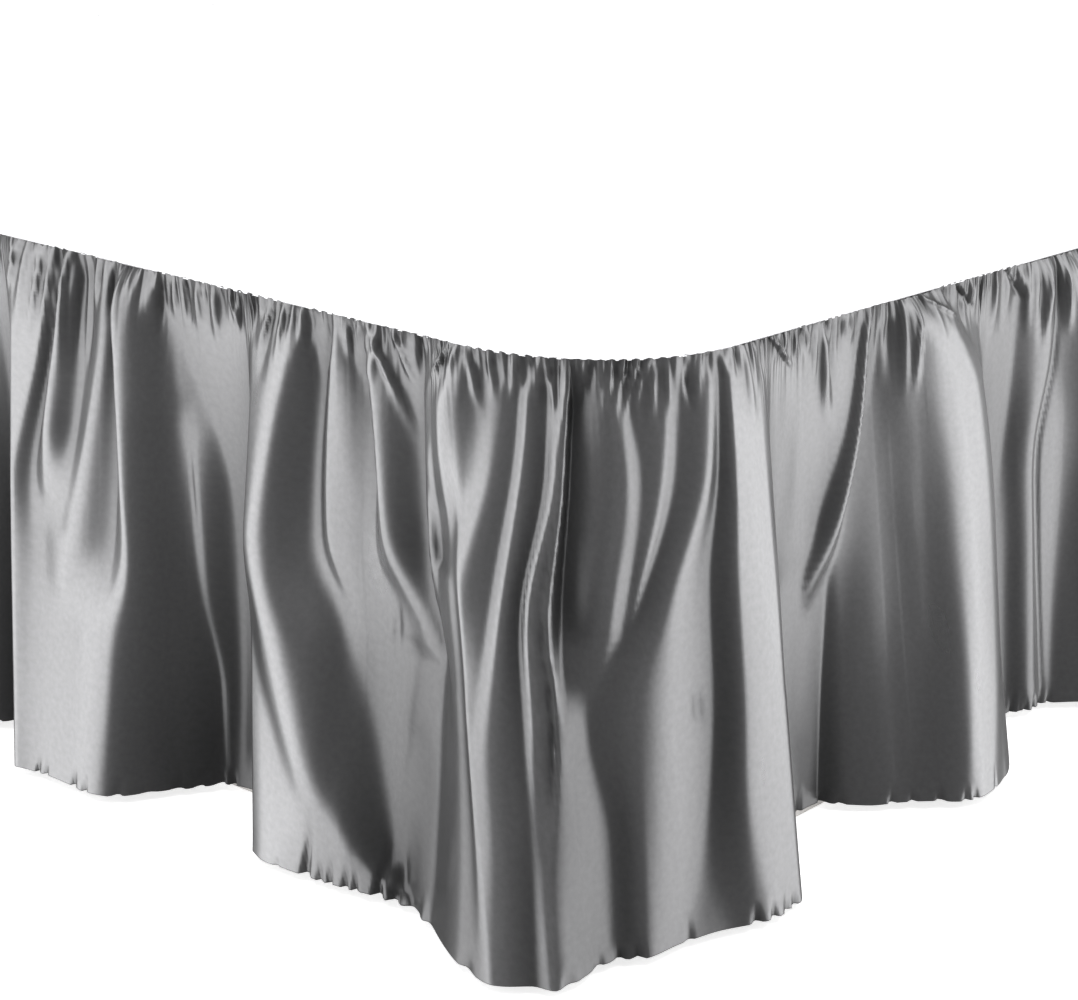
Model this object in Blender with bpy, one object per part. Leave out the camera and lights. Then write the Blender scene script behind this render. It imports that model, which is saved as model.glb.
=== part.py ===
"""Bed skirt on a bed base: a gathered satin drop sewn round three sides of a flat deck.

The bed stands on the floor plane with its foot towards -Y and its head towards +Y. The origin is on the
floor under the middle of the base. Lengths are metres, except in the tables, whose columns name their units.
The drop hangs from the seam, which runs down the +X side of the deck, round the foot and up the -X side.
Places along the seam are measured from the middle of the corner at +X, -Y: positive towards the head along
the +X side, negative along the foot and on round to the -X side.
"""

import math
import random
from collections import namedtuple

import bmesh
import bpy
import numpy as np

CM = 0.01
MM = 0.001

BED_WIDTH = 1.52
BED_LENGTH = 2.03
SEAM_HEIGHT = 0.38
HEM_CLEARANCE = 0.006
FOOT_CORNER_RADIUS = 0.125
HEAD_CORNER_RADIUS = 0.03
HEAD_MARGIN = 0.04
CLOTH_THICKNESS = 0.0016
DECK_THICKNESS = 0.0014
SEAM_GAP = 0.0005
REST_GAP = 0.0003
BASE_INSET = 0.004
LEAST_STANDOFF_MM = 0.6

DROP_COLUMNS = 414
DROP_HEIGHTS = (0.0, 0.07, 0.19, 0.36, 0.56, 0.78, 1.0)
SHAPED_STRETCH_CM = (-68.0, 60.0)
SHAPED_DENSITY = 2.1
CORNER_STEPS = 24

CORNER_REACH = FOOT_CORNER_RADIUS * math.pi / 4
FOOT_RUN = BED_WIDTH - 2 * FOOT_CORNER_RADIUS
SIDE_RUN = BED_LENGTH - FOOT_CORNER_RADIUS - HEAD_MARGIN
SEAM_START_CM = -(3 * CORNER_REACH + FOOT_RUN + SIDE_RUN) / CM
SEAM_END_CM = (CORNER_REACH + SIDE_RUN) / CM
FAR_CORNER_CM = -(2 * CORNER_REACH + FOOT_RUN) / CM

# One row for each crest or valley of the wide lobes: where it starts at the seam, where it meets the hem, how
# far the hem stands out from the seam line there, and how far its middle bows off the straight line between.
Lobe = namedtuple("Lobe", "seam_cm hem_cm out_mm bow_cm", defaults=(0.0,))

FOOT_LOBES = [
    Lobe(-70.5, -66.0, 8.0),
    Lobe(-69.0, -63.5, 62.0),
    Lobe(-65.0, -60.0, 70.0),
    Lobe(-58.0, -52.5, 50.0),
    Lobe(-56.0, -48.5, 15.0),
    Lobe(-54.5, -44.5, 96.0),
    Lobe(-50.0, -42.0, 97.0),
    Lobe(-45.5, -38.8, 90.0),
    Lobe(-42.0, -35.6, 78.0),
    Lobe(-37.5, -32.6, 38.0),
    Lobe(-32.0, -29.3, 5.0),
]
CORNER_LOBES = [
    Lobe(-30.2, -26.0, 6.0),
    Lobe(-29.0, -21.2, 80.0),
    Lobe(-26.5, -19.0, 86.0),
    Lobe(-24.0, -16.5, 84.0),
    Lobe(-20.5, -13.0, 76.0),
    Lobe(-16.0, -9.0, 66.0),
    Lobe(-12.5, -6.7, 84.0, 1.3),
    Lobe(-11.5, -4.5, 128.0, 1.5),
    Lobe(-9.5, -3.2, 145.0, 0.6),
    Lobe(-6.0, -1.5, 141.0),
    Lobe(-2.5, 0.1, 120.0),
    Lobe(2.0, 3.5, 96.0),
    Lobe(7.0, 6.5, 82.0),
    Lobe(12.3, 9.8, 87.0),
    Lobe(13.2, 12.2, 70.0),
    Lobe(14.5, 15.5, 10.0),
    Lobe(19.0, 23.5, 3.0),
]
SIDE_LOBES = [
    Lobe(23.0, 25.7, 25.0),
    Lobe(27.0, 28.3, 47.0),
    Lobe(33.0, 34.4, 80.0),
    Lobe(39.0, 38.8, 79.0),
    Lobe(41.5, 42.5, 62.0),
    Lobe(43.0, 46.0, 20.0),
    Lobe(46.0, 49.5, 13.0),
    Lobe(49.0, 52.0, 20.0),
    Lobe(53.5, 56.0, 27.0),
    Lobe(57.0, 60.0, 62.0),
    Lobe(62.0, 66.0, 60.0),
    Lobe(67.0, 69.5, 10.0),
]

# One row for each crest or valley line that runs down a lobe: its place along the seam at six heights, how
# far it lies above or below the lobe at three, and the shares of the drop between which it shows.
TO_HEM = 1.3
Fold = namedtuple("Fold", "path_cm level_mm start end", defaults=(0.0, TO_HEM))
PATH_HEIGHTS = np.array([0.0, 0.2, 0.4, 0.6, 0.8, 1.0])
LEVEL_HEIGHTS = np.array([0.0, 0.5, 1.0])

FOOT_FOLDS = [
    Fold((-66.0, -65.0, -64.0, -63.5, -63.0, -63.0), (3.0, 4.0, 4.0)),
    Fold((-62.0, -61.0, -60.0, -59.0, -58.5, -58.0), (-4.0, -5.0, -5.0)),
    Fold((-59.0, -58.0, -57.0, -56.0, -55.5, -55.5), (3.0, 4.0, 4.0)),
    Fold((-50.2, -49.7, -50.3, -49.2, -47.7, -45.8), (5.0, 5.0, 3.0)),
    Fold((-47.6, -47.0, -46.6, -46.0, -43.8, -42.2), (-2.0, -4.0, -6.0)),
    Fold((-42.0, -40.0, -38.3, -36.6, -36.2, -35.4), (8.0, 11.0, 8.0)),
    Fold((-39.4, -37.0, -34.4, -32.6, -31.3, -31.2), (4.0, -1.0, -4.0)),
    Fold((-37.0, -33.2, -29.9, -29.5, -29.4, -29.3), (-9.0, -9.0, -9.0), 0.0, 0.48),
]
CORNER_FOLDS = [
    Fold((-27.5, -28.5, -28.0, -24.5, -20.5, -17.6), (0.0, 0.0, -4.0)),
    Fold((-24.2, -25.0, -25.0, -21.0, -16.8, -12.8), (5.0, 10.0, 4.0)),
    Fold((-21.9, -21.5, -20.0, -14.3, -10.8, -9.0), (-8.0, -13.0, -5.0)),
    Fold((-18.3, -15.8, -13.1, -9.0, -8.6, -8.6), (3.0, 4.0, 4.0), 0.0, 0.55),
    Fold((-13.6, -12.1, -10.0, -6.9, -6.5, -6.3), (-8.0, -14.0, -8.0), 0.0, 0.68),
    Fold((-5.3, -4.95, -5.1, -5.1, -4.3, -4.0), (-9.0, -5.0, -1.0)),
    Fold((-2.6, -2.6, -2.9, -2.4, -1.9, -1.4), (0.0, 4.0, 4.0)),
    Fold((-1.0, -0.8, -1.2, -1.0, 0.4, 0.6), (-12.0, -13.0, -6.0)),
    Fold((0.6, 0.8, 0.4, 0.6, 1.0, 1.0), (0.0, -1.0, -1.0), 0.0, 0.56),
    Fold((5.0, 4.0, 1.9, 1.6, 1.6, 1.6), (-4.0, -7.0, -7.0), 0.0, 0.54),
    Fold((7.0, 5.6, 3.5, 2.6, 2.5, 2.4), (1.0, -1.0, 2.0)),
    Fold((8.4, 7.4, 6.2, 5.6, 4.8, 4.2), (0.0, -5.0, -4.0)),
    Fold((9.8, 9.0, 8.1, 7.7, 7.2, 7.0), (4.0, 4.0, 8.0)),
    Fold((11.5, 10.9, 10.2, 9.9, 9.6, 9.4), (4.0, 3.0, 0.0)),
]
SIDE_FOLDS = [
    Fold((26.0, 24.1, 21.5, 17.6, 16.5, 16.5), (3.0, 7.0, 6.0), 0.0, 0.64),
    Fold((28.0, 26.4, 24.9, 23.3, 23.5, 24.0), (-8.0, -8.0, -6.0)),
    Fold((30.5, 29.5, 28.5, 27.5, 27.5, 27.5), (9.0, -1.0, -3.0)),
    Fold((32.6, 36.4, 36.4, 35.6, 33.8, 32.3), (12.0, 13.0, 5.0)),
    Fold((34.8, 38.7, 38.9, 37.7, 36.8, 35.0), (10.0, 11.0, 4.0)),
    Fold((37.5, 42.0, 42.6, 41.8, 40.8, 39.5), (-2.0, -3.0, -3.0)),
    Fold((44.8, 45.6, 46.0, 46.5, 47.5, 48.5), (-8.0, -7.0, -5.0)),
    Fold((50.8, 50.8, 49.7, 50.4, 51.4, 52.4), (8.0, 6.0, 3.0)),
    Fold((53.0, 52.8, 51.6, 52.4, 53.5, 54.6), (5.0, 4.0, 1.0)),
    Fold((60.0, 60.0, 60.0, 61.0, 61.5, 62.0), (14.0, 12.0, 6.0)),
]

# The far foot corner is a slightly slacker mirror of the near one.
FAR_CORNER_SLACK = 0.93

# A plain lobe, as shares of its width along the seam and along the hem, and of its own reach.
LobeShare = namedtuple("LobeShare", "seam hem reach")
PLAIN_LOBE = [
    LobeShare(0.00, 0.02, 0.12),
    LobeShare(0.08, 0.17, 0.92),
    LobeShare(0.32, 0.34, 1.00),
    LobeShare(0.60, 0.58, 0.80),
    LobeShare(0.84, 0.78, 0.86),
    LobeShare(0.92, 0.93, 0.15),
]
PLAIN_LOBE_WIDTH_CM = 22.0
PLAIN_REACH_MM = (62.0, 96.0)
PLAIN_LEAN_CM = 1.3
PLAIN_FOLD_SHARES = (0.16, 0.30, 0.45, 0.60, 0.76)
STRETCH_GAP_CM = 1.5

# A fold fades in and out over this share of the drop, and keeps this far from the next one.
FOLD_FADE = 0.14
LEAST_GAP_CM = 1.0

# How far the folds may reach at the seam, and how fast that grows on the way down.
SEAM_LIMIT_MM = 1.2
LIMIT_GROWTH_MM = 190.0


def plain_stretch(start_cm, end_cm, seed):
    """Return the lobes and folds that fill a stretch of the seam with plain, uneven lobes."""
    chance = random.Random(seed)
    count = max(1, round((end_cm - start_cm) / PLAIN_LOBE_WIDTH_CM))
    shares = [chance.uniform(0.75, 1.25) for _ in range(count)]
    lobes = []
    folds = []
    start = start_cm
    for share in shares:
        width = (end_cm - start_cm) * share / sum(shares)
        reach = chance.uniform(*PLAIN_REACH_MM)
        lean = chance.uniform(-PLAIN_LEAN_CM, PLAIN_LEAN_CM)
        flip = chance.random() < 0.5
        lobes += plain_lobe(start, width, reach, lean, flip)
        folds += plain_folds(start, width, chance)
        start += width
    return lobes, folds


def plain_lobe(start_cm, width_cm, reach_mm, lean_cm, flip):
    """Return the rows of one plain lobe, mirrored when flip is set."""
    shares = PLAIN_LOBE
    if flip:
        seam_end = PLAIN_LOBE[-1].seam
        hem_ends = PLAIN_LOBE[0].hem + PLAIN_LOBE[-1].hem
        shares = [LobeShare(seam_end - s.seam, hem_ends - s.hem, s.reach) for s in reversed(PLAIN_LOBE)]
    rows = []
    for share in shares:
        lean = lean_cm * math.sin(math.pi * share.hem)
        seam = start_cm + share.seam * width_cm
        hem = start_cm + share.hem * width_cm + lean
        rows.append(Lobe(seam, hem, share.reach * reach_mm))
    return rows


def plain_folds(start_cm, width_cm, chance):
    """Return crests and valleys in turn across one plain lobe, each wandering a little on its way down."""
    folds = []
    for number, share in enumerate(PLAIN_FOLD_SHARES):
        place = start_cm + (share + chance.uniform(-0.03, 0.03)) * width_cm
        path = []
        for _ in PATH_HEIGHTS:
            path.append(place)
            place += chance.uniform(-0.5, 0.5)
        level = chance.uniform(3.0, 6.0) * (1 if number % 2 == 0 else -1)
        folds.append(Fold(tuple(path), (level, level, level)))
    return folds


def mirrored(lobes, folds, slack):
    """Return the lobes and folds of the near foot corner, mirrored about the middle of the foot."""
    far = FAR_CORNER_CM
    far_lobes = [
        Lobe(far - row.seam_cm, far - row.hem_cm, row.out_mm * slack, -row.bow_cm)
        for row in reversed(lobes)
    ]
    far_folds = []
    for row in folds:
        path = tuple(far - place for place in row.path_cm)
        levels = tuple(level * slack for level in row.level_mm)
        far_folds.append(Fold(path, levels, row.start, row.end))
    return far_lobes, far_folds


def drop_tables():
    """Return every lobe and fold of the drop, in order along the seam."""
    far_lobes, far_folds = mirrored(CORNER_LOBES, CORNER_FOLDS, FAR_CORNER_SLACK)
    foot_start = far_lobes[-1].seam_cm + STRETCH_GAP_CM
    foot_end = FOOT_LOBES[0].seam_cm - STRETCH_GAP_CM
    stretches = [
        plain_stretch(SEAM_START_CM, far_lobes[0].seam_cm - STRETCH_GAP_CM, seed=11),
        (far_lobes, far_folds),
        plain_stretch(foot_start, foot_end, seed=12),
        (FOOT_LOBES + CORNER_LOBES + SIDE_LOBES, FOOT_FOLDS + CORNER_FOLDS + SIDE_FOLDS),
        plain_stretch(SIDE_LOBES[-1].seam_cm + STRETCH_GAP_CM, SEAM_END_CM, seed=13),
    ]
    lobes = [row for stretch, _ in stretches for row in stretch]
    folds = [row for _, stretch in stretches for row in stretch]
    return lobes, folds


def smooth_step(low, high, value):
    """Return 0 below low and 1 above high, with a smooth rise between them."""
    share = np.clip((value - low) / (high - low), 0.0, 1.0)
    return share * share * (3 - 2 * share)


def even_slopes(places, values):
    """Return the slope at each place for a curve that never overshoots its values."""
    steps = np.diff(values) / np.diff(places)
    slopes = np.zeros(len(places))
    slopes[0], slopes[-1] = steps[0], steps[-1]
    before, after = steps[:-1], steps[1:]
    same = before * after > 0
    total = np.where(same, before + after, 1.0)
    slopes[1:-1] = np.where(same, 2 * before * after / total, 0.0)
    return slopes


def curve_at(wanted, places, values):
    """Return the smooth curve through the values at the wanted places."""
    slopes = even_slopes(places, values)
    i = np.clip(np.searchsorted(places, wanted) - 1, 0, len(places) - 2)
    width = places[i + 1] - places[i]
    s = np.clip((wanted - places[i]) / width, 0.0, 1.0)
    rise = (3 - 2 * s) * s * s
    leave = (s - 2 * s * s + s**3) * width * slopes[i]
    arrive = (s**3 - s * s) * width * slopes[i + 1]
    return values[i] + (values[i + 1] - values[i]) * rise + leave + arrive


def seam_points(places_cm):
    """Return the plan points of the seam line and the directions that point out of the bed there."""
    places = np.asarray(places_cm, float) * CM
    half_width, half_length, radius = BED_WIDTH / 2, BED_LENGTH / 2, FOOT_CORNER_RADIUS
    points = np.zeros((len(places), 2))
    outward = np.zeros((len(places), 2))
    for side, centre_x in ((1, half_width - radius), (-1, radius - half_width)):
        centre = np.array([centre_x, radius - half_length])
        corner = 0.0 if side > 0 else FAR_CORNER_CM * CM
        along = (places - corner) * side
        own = places >= -CORNER_REACH - FOOT_RUN / 2 if side > 0 else places < -CORNER_REACH - FOOT_RUN / 2
        turn = np.clip(along, -CORNER_REACH, CORNER_REACH) / radius + math.pi / 4
        facing = np.stack([side * np.sin(turn), -np.cos(turn)], axis=1)
        foot_run = np.minimum(along + CORNER_REACH, 0.0)[:, None] * np.array([side, 0.0])
        side_run = np.maximum(along - CORNER_REACH, 0.0)[:, None] * np.array([0.0, 1.0])
        points[own] = (centre + radius * facing + foot_run + side_run)[own]
        outward[own] = facing[own]
    return points, outward


class DropShape:
    """The middle surface of the drop, as a function of a column and a height."""

    def __init__(self):
        lobes, self.folds = drop_tables()
        self.seam = np.array([row.seam_cm for row in lobes])
        self.hem = np.array([row.hem_cm for row in lobes])
        self.out = np.array([row.out_mm for row in lobes])
        self.bow = np.array([row.bow_cm for row in lobes])

    def place(self, column_cm, height):
        """Return where a column that leaves the seam at column_cm lies at a height, 0 seam to 1 hem."""
        bow = 4 * height * (1 - height) * self.bow
        there = self.seam * (1 - height) + self.hem * height + bow
        return column_cm + curve_at(column_cm, self.seam, there - self.seam)

    def fold_share(self, fold, height):
        """Return how much of a fold shows at a height, from 0 to 1."""
        begun = 1.0 if fold.start <= 0 else float(smooth_step(fold.start, fold.start + FOLD_FADE, height))
        return begun * float(1 - smooth_step(fold.end - FOLD_FADE, fold.end, height))

    def fold_rise(self, place_cm, height):
        """Return how far the folds lift the cloth at one height, in millimetres."""
        spot = np.array([height])
        rows = []
        for fold in self.folds:
            share = self.fold_share(fold, height)
            if share > 0:
                place = curve_at(spot, PATH_HEIGHTS, np.array(fold.path_cm))[0]
                level = curve_at(spot, LEVEL_HEIGHTS, np.array(fold.level_mm))[0]
                rows.append((place, level, share, fold.start <= 0 and fold.end >= TO_HEM))
        rows.sort()
        places, levels, shares, whole = (np.array(column) for column in zip(*rows))
        rank = np.arange(len(places)) * LEAST_GAP_CM
        places = np.maximum.accumulate(places - rank) + rank
        along = curve_at(places, places[whole], levels[whole])
        levels = levels * shares + along * (1 - shares)
        limit = SEAM_LIMIT_MM + LIMIT_GROWTH_MM * height
        return limit * np.tanh(curve_at(place_cm, places, levels) / limit)

    def level(self, column_cm, height):
        """Return the plan points of the cloth's middle surface at one height."""
        place = self.place(column_cm, height)
        out = curve_at(column_cm, self.seam, self.out) * height + self.fold_rise(place, height)
        least = LEAST_STANDOFF_MM * height
        clear = least + 0.5 * (out - least + np.sqrt((out - least) ** 2 + 1.0))
        points, outward = seam_points(place)
        return points + outward * clear[:, None] * MM

    def columns(self, count):
        """Return the columns' places at the seam, even along the cloth and closer on the near corner."""
        fine = np.linspace(SEAM_START_CM, SEAM_END_CM, 8000)
        hem = self.level(fine, 1.0)
        steps = np.linalg.norm(np.diff(hem, axis=0), axis=1) / CM + np.diff(fine)
        middle = (fine[:-1] + fine[1:]) / 2
        near = (middle > SHAPED_STRETCH_CM[0]) & (middle < SHAPED_STRETCH_CM[1])
        length = np.concatenate([[0.0], np.cumsum(steps * np.where(near, SHAPED_DENSITY, 1.0))])
        return np.interp(np.linspace(0.0, length[-1], count), length, fine)


def plan_normals(points):
    """Return the direction square to a plan curve, on its outer side, at each of its points."""
    ahead = np.gradient(points, axis=0)
    ahead /= np.linalg.norm(ahead, axis=1)[:, None]
    return np.stack([ahead[:, 1], -ahead[:, 0]], axis=1)


def drop_mesh():
    """Return the closed sheet of the drop: a face and a back, joined along the seam, hem and both ends."""
    shape = DropShape()
    columns = shape.columns(DROP_COLUMNS)
    mesh = bmesh.new()
    face, back = [], []
    for height in DROP_HEIGHTS:
        points = shape.level(columns, height)
        normals = plan_normals(points)
        level_z = SEAM_HEIGHT - (SEAM_HEIGHT - HEM_CLEARANCE) * height
        for rows, side in ((face, 0.5), (back, -0.5)):
            shell = points + normals * side * CLOTH_THICKNESS
            rows.append([mesh.verts.new((x, y, level_z)) for x, y in shell])
    for upper, lower in zip(face, face[1:]):
        add_strip(mesh, upper, lower)
    for upper, lower in zip(back, back[1:]):
        add_strip(mesh, lower, upper)
    add_strip(mesh, back[0], face[0])
    add_strip(mesh, face[-1], back[-1])
    add_strip(mesh, [row[0] for row in face], [row[0] for row in back])
    add_strip(mesh, [row[-1] for row in back], [row[-1] for row in face])
    return mesh


def add_strip(mesh, upper, lower):
    """Add a row of triangles between two rows of points."""
    for i in range(len(upper) - 1):
        mesh.faces.new((upper[i], lower[i], lower[i + 1]))
        mesh.faces.new((upper[i], lower[i + 1], upper[i + 1]))


def bed_outline(inset):
    """Return the plan of the bed, with full foot corners and tight head corners, drawn in by an inset."""
    half_width, half_length = BED_WIDTH / 2, BED_LENGTH / 2
    corners = [
        (half_width, -half_length, FOOT_CORNER_RADIUS, 270),
        (half_width, half_length, HEAD_CORNER_RADIUS, 0),
        (-half_width, half_length, HEAD_CORNER_RADIUS, 90),
        (-half_width, -half_length, FOOT_CORNER_RADIUS, 180),
    ]
    outline = []
    for x, y, radius, first in corners:
        centre_x = x - math.copysign(radius, x)
        centre_y = y - math.copysign(radius, y)
        for step in range(CORNER_STEPS + 1):
            angle = math.radians(first + 90 * step / CORNER_STEPS)
            outline.append((
                centre_x + (radius - inset) * math.cos(angle),
                centre_y + (radius - inset) * math.sin(angle),
            ))
    return outline


def slab_mesh(outline, bottom, top):
    """Return an upright slab over an outline."""
    mesh = bmesh.new()
    floor = mesh.faces.new([mesh.verts.new((x, y, bottom)) for x, y in outline])
    raised = bmesh.ops.extrude_face_region(mesh, geom=[floor])
    lifted = [item for item in raised["geom"] if isinstance(item, bmesh.types.BMVert)]
    bmesh.ops.translate(mesh, vec=(0.0, 0.0, top - bottom), verts=lifted)
    bmesh.ops.recalc_face_normals(mesh, faces=mesh.faces)
    return mesh


def material(name, colour, roughness, metallic=0.0):
    """Return a Principled material with the given finish."""
    made = bpy.data.materials.new(name)
    made.use_nodes = True
    shader = made.node_tree.nodes["Principled BSDF"]
    shader.inputs["Base Color"].default_value = (*colour, 1.0)
    shader.inputs["Roughness"].default_value = roughness
    shader.inputs["Metallic"].default_value = metallic
    return made


def add_object(name, mesh, finish, smooth):
    """Add a named object made of a bmesh to the scene."""
    data = bpy.data.meshes.new(name)
    mesh.to_mesh(data)
    mesh.free()
    data.materials.append(finish)
    if smooth:
        data.shade_smooth()
    bpy.context.scene.collection.objects.link(bpy.data.objects.new(name, data))


def build():
    """Build the bed base, the deck on it, and the drop round them."""
    for old in list(bpy.data.objects):
        bpy.data.objects.remove(old)
    base_top = SEAM_HEIGHT - DECK_THICKNESS - REST_GAP
    deck_inset = CLOTH_THICKNESS / 2 + SEAM_GAP
    base_finish = material("pale base cover", (0.62, 0.60, 0.58), 0.9)
    deck_finish = material("off-white deck cloth", (0.90, 0.90, 0.92), 0.85)
    satin = material("grey satin", (0.22, 0.22, 0.225), 0.32, metallic=0.5)
    add_object("bed_base", slab_mesh(bed_outline(BASE_INSET), 0.0, base_top), base_finish, smooth=False)
    add_object("deck", slab_mesh(bed_outline(deck_inset), base_top + REST_GAP, SEAM_HEIGHT), deck_finish,
               smooth=False)
    add_object("drop", drop_mesh(), satin, smooth=True)


build()
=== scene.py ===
"""Bed skirt on a bed base: the finished looks of the gathered satin drop, its deck and the base.

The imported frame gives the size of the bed. The bed stands on the floor with its foot towards -Y and its
head towards +Y, and the origin is on the floor under the middle of the base. Lengths are metres, except in
the tables and in names that end in _cm or _mm. The drop hangs from the seam, a line that runs down the +X
side of the deck, round the foot and up the -X side. Places along the seam are measured in centimetres from
the middle of the corner at +X, -Y: positive towards the head along the +X side, negative along the foot and
on round to the -X side. Heights on the drop are shares of it, from 0 at the seam to 1 at the hem.
"""

import logging
import math
import random
from dataclasses import dataclass, field
from enum import Enum
from typing import NamedTuple, Sequence

import bpy
import numpy as np
from mathutils import Matrix, Vector

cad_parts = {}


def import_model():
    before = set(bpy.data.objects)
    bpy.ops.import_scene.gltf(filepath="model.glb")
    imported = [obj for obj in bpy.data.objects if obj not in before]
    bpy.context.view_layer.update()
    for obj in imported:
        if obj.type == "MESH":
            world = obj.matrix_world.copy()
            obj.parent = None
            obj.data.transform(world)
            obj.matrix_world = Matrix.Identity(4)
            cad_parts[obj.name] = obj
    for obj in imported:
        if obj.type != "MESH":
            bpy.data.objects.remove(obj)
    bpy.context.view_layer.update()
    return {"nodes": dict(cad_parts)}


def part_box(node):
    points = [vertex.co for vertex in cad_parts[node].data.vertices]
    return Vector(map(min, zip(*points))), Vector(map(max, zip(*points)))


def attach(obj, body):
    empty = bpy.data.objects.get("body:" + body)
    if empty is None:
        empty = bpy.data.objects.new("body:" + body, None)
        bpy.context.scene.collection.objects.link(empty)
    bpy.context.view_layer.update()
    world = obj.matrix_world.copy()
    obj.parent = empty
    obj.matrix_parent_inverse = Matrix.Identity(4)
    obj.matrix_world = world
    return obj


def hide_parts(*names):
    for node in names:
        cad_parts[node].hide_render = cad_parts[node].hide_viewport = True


log = logging.getLogger("bed_skirt")

Span = tuple[float, float]

CM = 0.01
MM = 0.001
PAST_HEM = 1.3
SEAM_OVERHANG = 0.004
# Name of the point attribute that holds the drop's mask of painted shade.
PAINTED_SHADE_ATTRIBUTE = "painted_shade_mask"


class Lobe(NamedTuple):
    """A crest or valley of the wide lobes: its places at the seam and at the hem, its reach and its bow."""

    seam_cm: float
    hem_cm: float
    out_mm: float
    bow_cm: float = 0.0


class Fold(NamedTuple):
    """A crest or valley line: its place at six heights, its level at three, and where it starts and ends."""

    path_cm: tuple[float, ...]
    level_mm: tuple[float, float, float]
    start: float = 0.0
    end: float = PAST_HEM


class Gather(NamedTuple):
    """A short pleat below the seam: its places at its top and its foot, its length, rise and flank."""

    seam_cm: float
    foot_cm: float
    length: float
    rise_mm: float
    flank_mm: float


class Pucker(NamedTuple):
    """A small dent in the cloth above the hem: its place, height, depth and half width."""

    place_cm: float
    height_mm: float
    depth_mm: float
    half_mm: float


class Dimple(NamedTuple):
    """A shallow dent in the open cloth: its place, height share, depth and half sizes."""

    place_cm: float
    height: float
    depth_mm: float
    half_cm: float
    half_height: float


class Wave(NamedTuple):
    """A sine wave along the seam: its strength, the distance in which it turns by a radian, and its phase."""

    strength: float
    reach: float
    phase: float


PATH_HEIGHTS = np.array([0.0, 0.2, 0.4, 0.6, 0.8, 1.0])
LEVEL_HEIGHTS = np.array([0.0, 0.5, 1.0])

# The placed stretch of the drop, in three runs: the foot beside the near corner, the near corner itself, and
# the +X side beside it. Each table starts at its end nearer to the far corner.
FOOT_LOBES = [Lobe(*row) for row in (
    (-70.5, -66, 8),
    (-69, -63.5, 62),
    (-65, -60, 70),
    (-58, -52.5, 50),
    (-56, -48.5, 15),
    (-54.5, -44.5, 96),
    (-50, -42, 97),
    (-45.5, -38.8, 90),
    (-42, -35.6, 78),
    (-37.5, -32.6, 38, 0.4),
    (-32, -29.3, 5, 0.9),
)]
CORNER_LOBES = [Lobe(*row) for row in (
    (-30.2, -26, 6),
    (-29, -21.2, 80),
    (-26.5, -19, 86),
    (-24, -16.5, 84),
    (-20.5, -13, 76),
    (-16, -9, 66),
    (-12.5, -6.7, 84, 1.3),
    (-11.5, -4.5, 128, 1.5),
    (-9.5, -3.2, 145, 0.6),
    (-6, -1.5, 141),
    (-2.5, 0.1, 120),
    (2, 3.5, 96),
    (7, 6.5, 82),
    (12.3, 9.8, 87),
    (13.2, 12.2, 70),
    (14.5, 15.5, 10),
    (19, 23.5, 3),
)]
SIDE_LOBES = [Lobe(*row) for row in (
    (23, 25.7, 25),
    (27, 28.3, 47),
    (33, 34.4, 80),
    (39, 38.8, 79),
    (41.5, 42.5, 62),
    (43, 46, 20),
    (46, 49.5, 13),
    (49, 52, 20),
    (51.5, 54, 20),
    (57, 60, 62),
    (62, 66, 60),
    (67, 69.5, 10),
)]

FOOT_FOLDS = [
    Fold((-66, -65, -64, -63.5, -63, -63), (3, 4, 4)),
    Fold((-62, -61, -60, -59, -58.5, -58), (-4, -5, -5)),
    Fold((-59, -58, -57, -56, -55.5, -55.5), (3, 4, 4)),
    Fold((-50.2, -49.7, -50.3, -49.2, -47.7, -45.8), (5, 5, 3)),
    Fold((-48.8, -48.4, -48.5, -46, -43.8, -42.2), (-2, -4, -6)),
    Fold((-48.3, -47.7, -46.8, -45.6, -45, -44), (6, 7, 5), end=0.52),
    Fold((-46.6, -45.2, -44.6, -44.3, -44, -43), (-4, -3, -3), end=0.52),
    Fold((-43.6, -42.8, -42.8, -42.5, -42.4, -42.4), (6, 4, 3), end=0.72),
    Fold((-42.7, -41.3, -40.1, -39.4, -39.2, -39.2), (3, -3, -3), end=0.72),
    Fold((-42, -40.1, -38.3, -36.6, -36.2, -35.4), (20, 13, 8)),
    Fold((-38.6, -35.9, -34.1, -32.9, -31.3, -31.2), (-3, 1.5, -4)),
    Fold((-34.5, -34.4, -33.3, -32.1, -30.8, -30.4), (8, 3.5, -1), 0.22),
    Fold((-36.2, -32.4, -30.1, -29.7, -29.5, -29.5), (-9, -2, -1)),
]
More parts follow.
